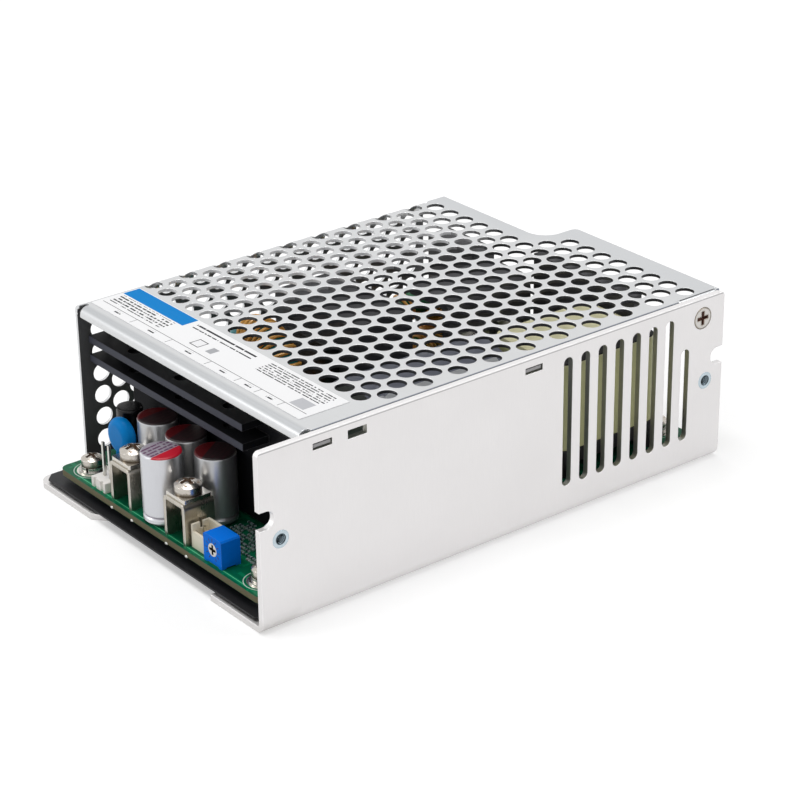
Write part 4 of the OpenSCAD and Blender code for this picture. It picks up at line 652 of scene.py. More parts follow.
@dataclass
class SubAssembly:
    """Base of the sub-assemblies: dresses solids and adds pieces."""

    nodes: dict[str, bpy.types.Object]
    effects: Effects

    def dress(self, finish: Finish, *names: str) -> None:
        """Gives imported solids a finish.

        Args:
            finish: The finish.
            *names: The solids.
        """
        material = finish.material(self.effects)
        for name in names:
            mesh = self.nodes[name].data
            mesh.materials.clear()
            mesh.materials.append(material)
            LOG.info("%s dressed in %s", name, finish.name)

    def add(self, name: str, surface: Surface, finish: Finish, slot: str, body: str = SUPPLY,
            replaces: Sequence[str] = ()) -> bpy.types.Object:
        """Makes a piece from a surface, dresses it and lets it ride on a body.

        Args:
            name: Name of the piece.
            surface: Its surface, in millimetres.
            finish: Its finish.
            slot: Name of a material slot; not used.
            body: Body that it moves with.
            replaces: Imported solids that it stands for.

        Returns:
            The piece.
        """
        mesh = bpy.data.meshes.new(name)
        mesh.from_pydata((surface.points * MM).tolist(), [], surface.faces.tolist())
        shell = bmesh.new()
        shell.from_mesh(mesh)
        bmesh.ops.remove_doubles(shell, verts=shell.verts, dist=1e-4 * MM)
        bmesh.ops.recalc_face_normals(shell, faces=shell.faces)
        shell.to_mesh(mesh)
        shell.free()
        mesh.polygons.foreach_set("use_smooth", np.ones(len(mesh.polygons), bool))
        mesh.set_sharp_from_angle(angle=SHARP_ANGLE)
        mesh.materials.append(finish.material(self.effects))
        piece = bpy.data.objects.new(name, mesh)
        bpy.context.scene.collection.objects.link(piece)
        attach(piece, body)
        if replaces:
            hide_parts(*replaces)
        LOG.info("%s made with %d faces", name, len(mesh.polygons))
        return piece


@dataclass(frozen=True)
class LabelPrint:
    """Places of the print on the label, from its near left corner: left, right, front and back."""

    blue_panel: Patch = (0.3, 25.0, 8.7, 13.2)
    small_rows: Patch = (1.5, 23.0, 4.0, 8.2)
    title_row: Patch = (27.0, 50.0, 9.9, 11.9)
    note_rows: Patch = (55.0, 79.0, 7.6, 12.6)
    long_rule: Patch = (1.0, 80.7, 2.62, 2.78)
    square: Patch = (34.0, 37.4, 4.4, 7.6)
    square_inside: Patch = (34.25, 37.15, 4.65, 7.35)
    grey_square: Patch = (40.0, 42.2, 4.6, 7.2)
    grey_panel: Patch = (73.6, 78.6, 3.3, 6.9)
    cell_rules: tuple[float, ...] = (15.5, 30.0, 45.5, 57.0, 64.5, 73.0)
    cell_words: tuple[float, ...] = (8.0, 22.0, 37.0, 50.5, 60.0, 68.0)
    rule_w: float = 0.16
    word_w: float = 2.4
    rule_span: tuple[float, float] = (0.5, 2.7)
    word_span: tuple[float, float] = (1.1, 2.1)


@dataclass
class Case(SubAssembly):
    """Chassis, cover, their screws and bushes, the label and the film under the board."""

    label_ink: Colour = screen(46, 46, 50)
    label_blue: Colour = screen(0, 126, 200)
    # Painted shade: a near-black colour on the inner sides of the walls, where shade falls.
    inner_shade: Colour = screen(24, 24, 26)
    wall_t: float = 1.5
    sheet_t: float = 0.8
    edge_gap: float = 0.3
    bush_reach: float = 61.9
    bush_z: float = 21.5
    thread_r: float = 1.25
    thread_pitch: float = 0.5
    thread_depth: float = 0.2
    thread_ends: tuple[float, float] = (0.15, 2.6)
    rim_far_x: float = -43.0
    rim_front_y: float = -36.0
    # Painted light in the walls of the perforations: lighter tones by steps towards the far edge and the
    # front.
    far_rim_light: tuple[tuple[float, float, int], ...] = (
        (-12.0, 52.0, 110),
        (-16.0, 47.0, 175),
        (-20.0, 42.0, 250),
    )
    layout: LabelPrint = LabelPrint()

    def build(self) -> None:
        """Dresses the case and cuts the threads of its bushes."""
        self.dress(self.chassis_finish(), "chassis")
        self.dress(self.cover_finish(), "cover")
        # Painted shade: the bores of the bushes are dark, and the bushes' edges are darkened.
        bore_shade = tuple(
            Field((0.0, s * self.bush_reach, self.bush_z), (NO_HOLE, self.thread_r + 0.05, 0.0),
                  screen(34, 42, 48), 0.4, 1.0, shape=Shape.RING, flat=(0.0, 1.0, 1.0))
            for s in (-1, 1)
        )
        self.dress(Finish("bush_plate", screen(198, 212, 220), 0.16, 1.0, tone=0.15, patch=0.3,
                          patch_size=0.6, edge=0.3, painted_edge_light=-0.5, fields=bore_shade), "side_bushes", "standoffs")
        self.dress(self.flat_screw_finish(), "cover_screws")
        self.dress(Finish("black_film", screen(30, 30, 33), 0.42, tone=0.2, patch=0.25, edge=0.1,
                          specular=0.2), "insulation_film")
        self.dress(self.label_finish(), "rating_label")
        self.add_bush_threads()

    def chassis_finish(self) -> Finish:
        """Satin sheet with painted light and shade: dark on its inner side, in the walls of its slots and on
        its front lips, a dark line along the top of its outer face, and highlights at its edges.

        Returns:
            The finish of the chassis.
        """
        box = NodeBox.of("chassis")
        outer, top = box.high[0], box.high[2]
        # Painted shade: the dark inner side, the darker slot walls, the dark line along the top of the outer
        # face and the greyer front lips.
        inner_shade = Field((outer - self.wall_t - 5.0, 8.0, 24.0), (5.03, 60.0, 19.8), self.inner_shade, 0.55)
        slot_wall_shade = Field((outer - self.wall_t / 2, 2.5, 22.9), (self.wall_t / 2 - 0.07, 60.5, 19.4),
                           screen(172, 172, 164), 0.5, 1.0)
        top_line_shade = Field((outer, 0.0, top - 0.38), (0.06, REACH, 0.13), screen(178, 177, 178), 0.46, 1.0)
        front_lip_shade = Field((0.0, -68.0, 0.7), (60.0, 9.0, 1.2), screen(204, 202, 200), 0.5, 1.0, soft=2.0)
        return Finish("satin_sheet", SATIN_METAL, 0.46, 1.0, Grain.UPRIGHT, tone=0.05, patch_size=0.05,
                      gloss=0.06, bump=0.0012, edge=0.3, painted_edge_light=0.6,
                      fields=(inner_shade, slot_wall_shade, top_line_shade, front_lip_shade))

    def cover_finish(self) -> Finish:
        """Brushed sheet with painted shade: dark on the rear strip, in the gap at the near edge, along the
        front bend, on the tab ends, on the inner side of the far wall and in the walls of the perforations.

        The painted shade in the walls of the perforations gives way by steps to painted light towards the far
        edge and the front.

        Returns:
            The finish of the cover.
        """
        box = NodeBox.of("cover")
        top = box.high[2]
        under, inner = top - self.sheet_t, box.low[0] + self.sheet_t
        near = NodeBox.of("chassis").high[0] - self.wall_t - self.edge_gap
        # All fields here are painted light and shade, set by how light falls on the sheet, not by its finish.
        rear_shade_tone, shade, rim = screen(201, 203, 205), screen(70, 70, 73), self.sheet_t - 0.1
        rear_shade_strip = Field((0.0, 72.0, 43.0), (60.0, 13.0, 4.0), rear_shade_tone, 0.36, 1.0, soft=6.0)
        rear_shade_corner = Field((-36.0, 62.0, 43.0), (26.0, 11.0, 4.0), rear_shade_tone, 0.36, 1.0, soft=5.0)
        near_gap_shade = Field((near, 0.0, under), (0.3, REACH, 1.2), screen(142, 147, 156), 0.45, 1.0)
        front_bend_shade = Field((0.0, box.low[1] + 1.2, top), (44.0, 1.0, 0.7), screen(188, 190, 192), 0.4, 1.0,
                           soft=0.5)
        tab_end_shade = Field((box.high[0], 0.0, under - 2.0), (0.6, REACH, 1.6), screen(148, 147, 148), 0.5, 1.0)
        inner_shade = Field((inner + 4.0, 0.0, 22.0), (4.02, REACH, 18.4), self.inner_shade, 0.55)
        rim_light_shade = [Field((0.0, 10.1, under), (43.0, 46.0, rim), shade, 0.5, 0.6),
                Field((18.7, 61.0, under), (24.5, 5.8, rim), shade, 0.5, 0.6)]
        for x, y, tone in self.far_rim_light:
            rim_light_shade.append(Field(((x + self.rim_far_x) / 2, (y + self.rim_front_y) / 2, under),
                              ((x - self.rim_far_x) / 2, (y - self.rim_front_y) / 2, rim),
                              screen(tone, tone, tone + 2), 0.5))
        return Finish("brushed_sheet", BRUSHED_METAL, 0.36, 1.0, Grain.ROLLED, patch=0.05, gloss=0.07,
                      bump=0.0012, edge=0.25, painted_edge_light=0.6,
                      fields=(rear_shade_strip, rear_shade_corner, near_gap_shade, front_bend_shade, tab_end_shade, inner_shade, *rim_light_shade))

    @staticmethod
    def flat_screw_finish() -> Finish:
        """Plated screw with painted shade in its driver slot, wherever the surface lies below the faces of
        the walls, and painted shade at its edges.

        Returns:
            The finish, with one field of painted slot shade for each side of the case.
        """
        box = NodeBox.of("cover_screws")
        half, below = 2.0, 0.07
        slots = tuple(Field((face - s * (half + below), 0.0, 0.0), (half, REACH, REACH), screen(124, 88, 76),
                            0.5, 0.3)
                      for s, face in ((-1, box.low[0]), (1, box.high[0])))
        return Finish("screw_plate", screen(204, 201, 197), 0.24, 1.0, edge=0.7, painted_edge_light=-1.2, fields=slots)

    def add_bush_threads(self) -> None:
        """Adds the threads in the bushes, each a closed ring of rows.

        The radius is r - d saw(depth, angle) on a grid of depth and angle, and the last two rows close
        the ring outside the thread.
        """
        face = NodeBox.of("side_bushes").high[0]
        angles = circle(32)
        depth = np.linspace(*self.thread_ends, 60)[:, None]
        inside = self.thread_r - 0.02 - self.thread_depth * thread_saw(depth, angles, self.thread_pitch)
        radii = np.vstack([inside, np.full((2, len(angles)), self.thread_r - 0.005)])
        along = np.vstack([depth, depth[[-1, 0]]]) + 0 * angles
        grid = np.stack([face - along, radii * np.cos(angles), radii * np.sin(angles)], axis=-1)
        places = np.array([(0.0, s * self.bush_reach, self.bush_z) for s in (-1, 1)])
        self.add("bush_threads", grid_surface(grid, wrap_rows=True).repeated(places),
                 Finish("thread_zinc", screen(116, 130, 138), 0.25, 1.0, edge=0.05), "bush_steel")

    def label_finish(self) -> Finish:
        """White film with a blue panel, ruled cells and rows of grey dashes that form no letters.

        Returns:
            The finish of the label.
        """
        box = NodeBox.of("rating_label")
        left, front, top = box.low[0], box.low[1], box.high[2]
        ink, at = self.label_ink, self.layout

        def panel(patch: Patch, colour: Colour) -> Field:
            """A filled patch of the label.

            Args:
                patch: Its place on the label.
                colour: Its colour.

            Returns:
                The field.
            """
            u0, u1, v0, v1 = patch
            middle = (left + (u0 + u1) / 2, front + (v0 + v1) / 2, top)
            return Field(middle, ((u1 - u0) / 2, (v1 - v0) / 2, 1.0), colour, 0.5)

        def rows(patch: Patch, pitch: float, share: float, fill: float = 0.55) -> Field:
            """Rows of dashes that fill a patch of the label."""
            return replace(panel(patch, ink), shape=Shape.DASHES, pitch=pitch, width=pitch * share, fill=fill,
                           rate=1.4)

        fields = [panel(at.blue_panel, self.label_blue), rows(at.small_rows, 1.05, 0.45),
                  rows(at.title_row, 2.0, 0.5, 0.62), rows(at.note_rows, 0.85, 0.4), panel(at.long_rule, ink)]
        fields += [panel((u, u + at.rule_w, *at.rule_span), ink) for u in at.cell_rules]
        fields += [rows((u, u + at.word_w, *at.word_span), 1.0, 0.5, 0.6) for u in at.cell_words]
        fields += [panel(at.square, ink), panel(at.square_inside, screen(238, 238, 240)),
                   panel(at.grey_square, screen(170, 171, 175)), panel(at.grey_panel, screen(190, 191, 195))]
        return Finish("label_film", screen(243, 243, 244), 0.5, tone=0.02, patch=0.02, gloss=0.04,
                      bump=0.0008, edge=0.05, specular=0.06, fields=tuple(fields))


@dataclass
class Board(SubAssembly):
    """Circuit board with its screws and washers, small parts and solder."""

    edge_tan: Colour = screen(112, 107, 84)
    mask_green: Colour = screen(4, 98, 66)
    track_green: Colour = screen(10, 118, 80)
    highlight_green: Colour = screen(96, 196, 146)
    silk: Colour = screen(196, 208, 200)
    head_d: float = 5.2
    head_h: float = 2.6
    washer_r: float = 3.3
    pad_r: float = 3.75
    silk_ring: tuple[float, float] = (4.3, 4.52)
    chip_seed: int = 7
    chip_half: Point = (0.62, 0.34, 0.24)
    chip_step: tuple[float, float] = (1.75, 1.15)
    chip_rows: tuple[float, float] = (-56.4, -45.9)
    chip_room: tuple[float, float] = (1.1, 0.7)
    can_room: float = 1.4
    edge_room: float = 1.2
    chip_share: float = 0.82
    chip_shift: float = 0.12
    screw_room: float = 5.6
    edge_spots: tuple[float, ...] = (-17.8, -9.4, 4.7, 12.6)

    def build(self) -> None:
        """Dresses the board and adds its small parts."""
        self.dress(self.board_finish(), "board")
        screws = NodeBox.of("board_screws")
        self.dress(pan_screw_finish("bright_screw", screws.high[2], self.head_d, self.head_h,
                                    screws.corners(self.head_d / 2)), "board_screws")
        self.dress(Finish("washer_plate", screen(198, 195, 190), 0.25, 1.0, tone=0.1, edge=0.1),
                   "flat_washers", "spring_washers")
        self.dress(Finish("chip_body", screen(58, 56, 54), 0.5, tone=0.2, patch=0.2, edge=0.06), "chip_parts")
        self.add_small_chips()
        self.add_edge_solder()

    def board_finish(self) -> Finish:
        """Green mask with tracks, tin pads and white rings at the screws, a painted highlight line near the
        front edge, and a tan cut edge.

        Returns:
            The finish of the board.
        """
        box = NodeBox.of("board")
        along_x = Field(box.middle, (REACH, REACH, 5.0), self.track_green, 0.32, shape=Shape.DASHES,
                        pitch=2.3, width=1.0, fill=0.5, rate=0.09)
        along_y = replace(along_x, pitch=3.1, width=0.7, fill=0.47, rate=0.11, along=(0.0, 1.0, 0.0),
                          across=(1.0, 0.0, 0.0))
        # Painted highlight: a light green line on the top near the front edge.
        front_highlight = Field((box.middle[0], box.low[1] + 1.1, box.high[2]), (box.size[0] / 2 - 7.0, 0.11, 0.5),
                           self.highlight_green, 0.3)
        rings = []
        for x, y in NodeBox.of("flat_washers").corners(self.washer_r):
            rings.append(Field((x, y, 0.0), (*self.silk_ring, 0.0), self.silk, 0.6, shape=Shape.RING))
            rings.append(Field((x, y, 0.0), (NO_HOLE, self.pad_r, 0.0), TIN, 0.3, 1.0, shape=Shape.RING))
        cut = Field(box.middle, (REACH, REACH, box.size[2] / 2 - 0.06), self.edge_tan, 0.7)
        return Finish("solder_mask", self.mask_green, 0.34, tone=0.12, patch=0.25, bump=0.002, edge=0.1,
                      painted_edge_light=0.12, specular=0.12, fields=(along_x, along_y, front_highlight, *rings, cut))

    def add_small_chips(self) -> None:
        """Adds rows of small chip resistors and capacitors beside the trimmer, each with tinned ends."""
        rng = np.random.default_rng(self.chip_seed)
        board, chips = NodeBox.of("board"), NodeBox.of("chip_parts")
        can = NodeBox.of("output_capacitor_3")
        columns = np.arange(can.high[0] + self.can_room, board.high[0] - self.edge_room, self.chip_step[0])
        x, y = np.meshgrid(columns, np.arange(*self.chip_rows, self.chip_step[1]))
        places = np.stack([x.ravel(), y.ravel(), np.full(x.size, board.high[2])], axis=1)
        screw = NodeBox.of("board_screws").corners(self.head_d / 2)[2]
        near_screw = np.hypot(places[:, 0] - screw[0], places[:, 1] - screw[1]) < self.screw_room
        low, high = np.subtract(chips.low[:2], self.chip_room), np.add(chips.high[:2], self.chip_room)
        on_chips = np.all((places[:, :2] > low) & (places[:, :2] < high), axis=1)
        places = places[~near_screw & ~on_chips & (rng.random(len(places)) < self.chip_share)]
        places[:, :2] += rng.uniform(-self.chip_shift, self.chip_shift, (len(places), 2))
        a, b, c = self.chip_half
        body = soft_block((a * 0.62, b * 0.96, c * 0.94), 0.3, 6, 12).moved((0, 0, c))
        end = soft_block((a * 0.2, b, c), 0.35, 6, 12)
        ends = joined([end.moved((s * a * 0.8, 0, c)) for s in (-1, 1)])
        kinds = rng.random(len(places)) < 0.5
        self.add("small_resistors", body.repeated(places[kinds]),
                 Finish("resistor_body", screen(58, 78, 82), 0.35, edge=0.05), "chip_dark")
        self.add("small_capacitors", body.repeated(places[~kinds]),
                 Finish("ceramic_body", screen(130, 140, 134), 0.45, edge=0.05), "chip_dark")
        self.add("small_chip_ends", ends.repeated(places),
                 Finish("chip_tin", screen(190, 206, 208), 0.3, 0.3, edge=0.05), "terminal_tin")

    def add_edge_solder(self) -> None:
        """Adds the beads of solder at the lower front edge of the board, each an ellipsoid."""
        box = NodeBox.of("board")
        bead = soft_block((0.6, 0.3, 0.42), 1.0, 9, 14)
        places = np.array([(x, box.low[1], box.low[2] + 0.1) for x in self.edge_spots])
        self.add("edge_solder", bead.repeated(places),
                 Finish("solder", screen(188, 190, 186), 0.3, 1.0, edge=0.05), "terminal_tin")


def pan_screw_finish(name: str, top: float, head_d: float, head_h: float,
                     places: Sequence[Sequence[float]]) -> Finish:
    """A plated pan screw, dark in its driver slots and round the foot of its head.

    Args:
        name: Name of the finish.
        top: Height of the top of the heads.
        head_d: Diameter of a head.
        head_h: Height of a head.
        places: Where the screws stand in plan.

    Returns:
        The finish, with one field of painted shade for the slots of each screw and one for the feet of all
        heads.
    """
    # Painted shade: a dark band round the foot of each head, and darker driver slots.
    foot = Field((0.0, 0.0, top - head_h - 0.2), (REACH, REACH, 0.75), screen(88, 78, 66), 0.3, 1.0, soft=0.4)
    slot_half, slot_below = head_d * 0.31, 0.42
    slots = [Field((*place, top - head_h / 2 - slot_below), (slot_half, slot_half, head_h / 2),
                   screen(150, 128, 110), 0.45, 0.2) for place in places]
    return Finish(name, screen(202, 196, 187), 0.24, 1.0, tone=0.12, patch=0.2, patch_size=0.5, edge=0.15,
                  painted_edge_light=0.4, fields=(foot, *slots))


@dataclass(frozen=True)
class CanColours:
    """Colours of an aluminium can and of the print on its top."""

    metal: Colour
    top: Colour
    segment: Colour
    ink: Colour


# The lit colours are the cans' own; the shaded ones are painted shade for the cans under the heatsink: darker
# metal, a near-black top and darker print.
LIT_CAN = CanColours(screen(212, 213, 217), screen(176, 170, 180), screen(196, 18, 44), screen(104, 66, 100))
SHADED_CAN = CanColours(screen(194, 195, 197), screen(36, 24, 26), screen(84, 6, 14), screen(46, 20, 26))


@dataclass
class OutputEnd(SubAssembly):
    """Screw terminals, capacitors, connectors and the trimmer at the output end."""

    terminals: tuple[str, ...] = ("output_terminal_far", "output_terminal_near")
    front_can: str = "output_capacitor_front"
    can_turns: tuple[tuple[str, float], ...] = (
        ("output_capacitor_front", 9.0),
        ("output_capacitor_1", 186.0),
        ("output_capacitor_2", 200.0),
        ("output_capacitor_3", 214.0),
    )
    head_d: float = 6.3
    head_h: float = 2.9
    thread_r: float = 1.72
    thread_pitch: float = 0.6
    thread_depth: float = 0.22
    thread_fade: float = 0.3
    tick_r: float = 2.35

    def build(self) -> None:
        """Dresses the output end and adds threads and marks."""
        self.dress(Finish("tin_plate", screen(206, 200, 188), 0.3, 1.0, Grain.UPRIGHT, tone=0.2, patch=0.55,
                          patch_size=0.35, edge=0.2, painted_edge_light=0.5), *self.terminals)
        self.dress(Finish("square_plate", screen(212, 208, 200), 0.22, 1.0, tone=0.1, edge=0.15),
                   "square_washers")
        places = [NodeBox.of(name).middle[:2] for name in self.terminals]
        top = NodeBox.of("terminal_screws").high[2]
        self.dress(pan_screw_finish("terminal_screw", top, self.head_d, self.head_h, places),
                   "terminal_screws")
        self.dress_capacitors()
        self.dress(Finish("white_moulding", screen(250, 246, 240), 0.45, specular=0.3), "sense_header")
        self.dress(Finish("cream_moulding", screen(246, 238, 218), 0.45, specular=0.3), "signal_connector")
        self.dress(Finish("tin_pin", screen(216, 214, 208), 0.22, 1.0, Grain.UPRIGHT, edge=0.08),
                   "sense_pins", "signal_pins", "inlet_pins")
        self.dress(Finish("trimmer_case", screen(0, 120, 236), 0.5, edge=0.15, painted_edge_light=0.12, tone=0.1,
                          specular=0.08), "trimmer_body")
        rotor = NodeBox.of("trimmer_rotor")
        # Painted shade: a dark patch in the rotor's driver slot.
        slot = Field((rotor.middle[0], rotor.low[1] + 0.58, rotor.middle[2]), (1.3, 0.5, 1.3),
                     screen(40, 34, 30), 0.6)
        self.dress(Finish("trimmer_rotor", screen(240, 238, 232), 0.4, edge=0.1, specular=0.3,
                          fields=(slot,)), "trimmer_rotor")
        self.add_threads()
        self.add_trimmer_marks()

    def dress_capacitors(self) -> None:
        """Dresses the cans, the sleeved capacitor and the coated one."""
        for name, turn in self.can_turns:
            self.dress(self.can_finish(name, turn), name)
        sleeve = NodeBox.of("standby_capacitor")
        stripe = Field((sleeve.low[0], sleeve.middle[1], sleeve.middle[2] - 1.0),
                       (1.6, 1.3, sleeve.size[2] / 2), screen(190, 190, 186), 0.3)
        self.dress(Finish("black_sleeve", screen(14, 14, 16), 0.24, tone=0.1, edge=0.25, specular=0.3,
                          fields=(stripe,)), "standby_capacitor")
        self.dress(Finish("blue_coating", screen(0, 130, 208), 0.4, grain=Grain.COARSE, bump=0.01, edge=0.1,
                          specular=0.1), "disc_capacitor")

    def can_finish(self, name: str, turn: float) -> Finish:
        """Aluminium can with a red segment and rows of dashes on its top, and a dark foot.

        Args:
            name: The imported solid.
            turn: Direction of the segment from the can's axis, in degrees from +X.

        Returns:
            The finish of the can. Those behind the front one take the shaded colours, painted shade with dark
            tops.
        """
        box = NodeBox.of(name)
        lit = name == self.front_can
        colours = LIT_CAN if lit else SHADED_CAN
        radius = box.size[0] / 2
        cos, sin = math.cos(math.radians(turn)), math.sin(math.radians(turn))
        reach = radius * 0.3 + radius
        x, y = box.middle[:2]
        # For the cans behind, the whole top is painted shade.
        top = Field((x, y, box.high[2]), (radius, radius, 0.3), colours.top, 0.45)
        if lit:
            top = Field(box.middle, (NO_HOLE, radius - 0.3, 0.0), colours.top, 0.4, 0.3, shape=Shape.RING)
        rows = Field((x, y, box.high[2]), (3.4, 4.0, 0.3), colours.ink, 0.4, shape=Shape.DASHES, turn=turn,
                     pitch=1.2, width=0.6, fill=0.56, rate=1.6, along=(-sin, cos, 0), across=(cos, sin, 0))
        segment = Field((x + reach * cos, y + reach * sin, box.high[2]), (radius, 2 * radius, 0.35),
                        colours.segment, 0.4, turn=turn)
        foot = Field((x, y, box.low[2]), (radius, radius, 0.4), screen(30, 30, 30), 0.6)
        return Finish(f"can_{name}", colours.metal, 0.34, 0.85, Grain.UPRIGHT, tone=0.06, patch=0.1,
                      gloss=0.06, bump=0.001, edge=0.3, painted_edge_light=0.2, fields=(top, rows, segment, foot))

    def add_threads(self) -> None:
        """Adds the threads of the terminal screws, each a closed column.

        The radius is r + d saw(height, angle) on a grid of height and angle. The thread fades out at both
        ends, and a row of points on the axis closes each end.
        """
        boxes = [NodeBox.of(name) for name in self.terminals]
        low, high = NodeBox.of("terminal_screws").low[2] + 0.25, boxes[0].high[2] - 1.0
        angles = circle(36)
        heights = np.linspace(low, high, 90)[:, None]
        fade = np.clip(np.minimum(heights - low, high - heights) / self.thread_fade, 0, 1)
        r = self.thread_r + self.thread_depth * thread_saw(heights, angles, self.thread_pitch) * fade
        shell = np.stack([r * np.cos(angles), r * np.sin(angles), heights + 0 * angles], axis=-1)
        lids = [np.stack([0 * angles, 0 * angles, 0 * angles + z], axis=-1)[None] for z in (low, high)]
        grid = np.concatenate([lids[0], shell, lids[1]])
        places = np.array([(*box.middle[:2], 0.0) for box in boxes])
        self.add("terminal_threads", grid_surface(grid).repeated(places),
                 Finish("thread_plate", screen(190, 186, 178), 0.28, 1.0, edge=0.05), "screw_steel")

    def add_trimmer_marks(self) -> None:
        """Adds the ticks round the trimmer's rotor: thin dark blocks at even angles on a circle, as painted
        shade.
        """
        rotor = NodeBox.of("trimmer_rotor")
        centre = Vector((rotor.middle[0], NodeBox.of("trimmer_body").low[1], rotor.middle[2]))
        tick = soft_block((0.38, 0.015, 0.12), 0.3, 6, 12)
        ticks = []
        for a in np.radians(np.arange(-60, 241, 30)):
            out = Vector((self.tick_r * math.cos(a), -0.01, self.tick_r * math.sin(a)))
            ticks.append(tick.turned(Matrix.Translation(centre + out) @ Matrix.Rotation(-a, 4, "Y")))
        self.add("trimmer_ticks", joined(ticks), Finish("tick_shade", screen(6, 26, 92), 0.5, edge=0.02),
                 "trimmer_blue")


@dataclass(frozen=True)
class WoundRing:
    """A wire wound round a ring core.

    The wire's middle line is the ring's point at angle f, plus (core + d/2) times the spoke at angle
    t = turns f: R e(f) + s (cos t e(f) + sin t a). Every other turn rides higher inside the ring, where
    the turns crowd.
    """

    middle: Point
    first: Point
    second: Point
    ring: float
    core: float
    wire: float
    start: float
    sweep: float
    turns: int
    step: float
    steps_per_turn: int = 44
    sides: int = 8

    def surface(self) -> Surface:
        """Winds the wire.

        Returns:
            The wire as one closed tube.
        """
        e1, e2 = np.array(self.first, float), np.array(self.second, float)
        axis = np.cross(e1, e2)
        share = np.linspace(0, 1, self.turns * self.steps_per_turn + 1)
        around = np.radians(self.start + self.sweep * share)[:, None]
        turn = 2 * np.pi * self.turns * share
        odd = (np.floor(share * self.turns + 1e-9).astype(int) % 2)
        spoke = self.core + self.wire / 2 + self.step * odd * (1 - np.cos(turn)) / 2
        outward = np.cos(around) * e1 + np.sin(around) * e2
        normal = np.cos(turn)[:, None] * outward + np.sin(turn)[:, None] * axis
        path = np.array(self.middle) + self.ring * outward + spoke[:, None] * normal
        return tube_surface(path, normal, self.wire / 2, self.sides)


def lead_surface(place: Sequence[float], low: float, high: float, wire: float) -> Surface:
    """A straight upright wire: a round profile carried up a line.

    Args:
        place: Where the wire stands in plan.
        low: Height of its lower end.
        high: Height of its upper end.
        wire: Diameter of the wire.

    Returns:
        The wire as a closed tube.
    """
    heights = np.linspace(low, high, 6)
    path = np.stack([0 * heights + place[0], 0 * heights + place[1], heights], axis=1)
    normals = np.tile([1.0, 0.0, 0.0], (len(heights), 1))
    return tube_surface(path, normals, wire / 2, 10)


COPPER = Finish("enamelled_wire", screen(255, 190, 98), 0.28, 0.05, tone=0.15, patch=0.25, patch_size=0.3,
                gloss=0.06, edge=0.03)


def tinned_below(height: float) -> Field:
    """Bright tin on all that lies below a height, such as leads under a body."""
    return Field((0, 0, height - DEPTH), (REACH, REACH, DEPTH), TIN, 0.25, 1.0)


def package_finish(name: str, node: str) -> Finish:
    """A moulded power package: black body between tinned leads below and a tinned tab above.

    Args:
        name: Name of the finish.
        node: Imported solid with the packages, all at one height.

    Returns:
        The finish, with the leads and the tab as fields by height.
    """
    tab_high, body_high = 15.7, 9.2
    body_low = NodeBox.of(node).high[2] - tab_high
    tab = Field((0, 0, body_low + body_high + (DEPTH + 0.05)), (REACH, REACH, DEPTH), screen(196, 194, 190),
                0.3, 1.0)
    return Finish(name, screen(30, 30, 31), 0.5, tone=0.2, fields=(tinned_below(body_low), tab))


@dataclass
class OutputStage(SubAssembly):
    """Output heatsink with its rectifiers, and the output choke."""

    wire_d: float = 0.9
    lead_d: float = 1.2
    lead_out: tuple[float, float] = (7.0, 4.75)

    def build(self) -> None:
        """Dresses the output stage and winds the choke."""
        sink = NodeBox.of("output_heatsink")
        # Painted sheen: the front faces of the fins are lighter and bluer than the black anodising.
        face = Field((0, sink.low[1], 0), (REACH, 0.06, REACH), screen(66, 68, 78), 0.4)
        self.dress(Finish("black_anodised", screen(24, 24, 27), 0.5, grain=Grain.ROLLED, tone=0.2, patch=0.15,
                          edge=0.25, painted_edge_light=0.1, specular=0.1, fields=(face,)), "output_heatsink")
        self.dress(package_finish("rectifier_package", "output_rectifiers"), "output_rectifiers")
        self.dress(Finish("package_screw", screen(200, 198, 194), 0.25, 1.0), "rectifier_screws",
                   "transistor_screws", "bridge_screw")
        self.dress(Finish("teal_coating", screen(40, 152, 160), 0.4, grain=Grain.COARSE, tone=0.15,
                          bump=0.01), "output_choke_core")
        self.dress(Finish("choke_base", screen(26, 26, 27), 0.5, edge=0.15), "output_choke_base",
                   "taped_choke_base", "line_choke_base", "transformer_bobbin")
        self.wind_choke()

    def wind_choke(self) -> None:
        """Winds the output choke and drops its two leads to the board."""
        core = NodeBox.of("output_choke_core")
        low = NodeBox.of("output_choke_winding").low[2]
        x, y, z = core.middle
        thick = core.size[1] / 2
        ring = WoundRing(core.middle, (1, 0, 0), (0, 0, 1), ring=core.size[0] / 2 - thick, core=thick + 0.05,
                         wire=self.wire_d, start=187, sweep=286, turns=42, step=0.5)
        dx, dy = self.lead_out
        high = z - math.sqrt(ring.ring ** 2 - dx ** 2)
        leads = [lead_surface((x + s * dx, y + s * dy), low, high, self.lead_d) for s in (-1, 1)]
        self.add("output_choke_wire", joined([ring.surface(), *leads]), COPPER, "wire_copper",
                 replaces=["output_choke_winding"])


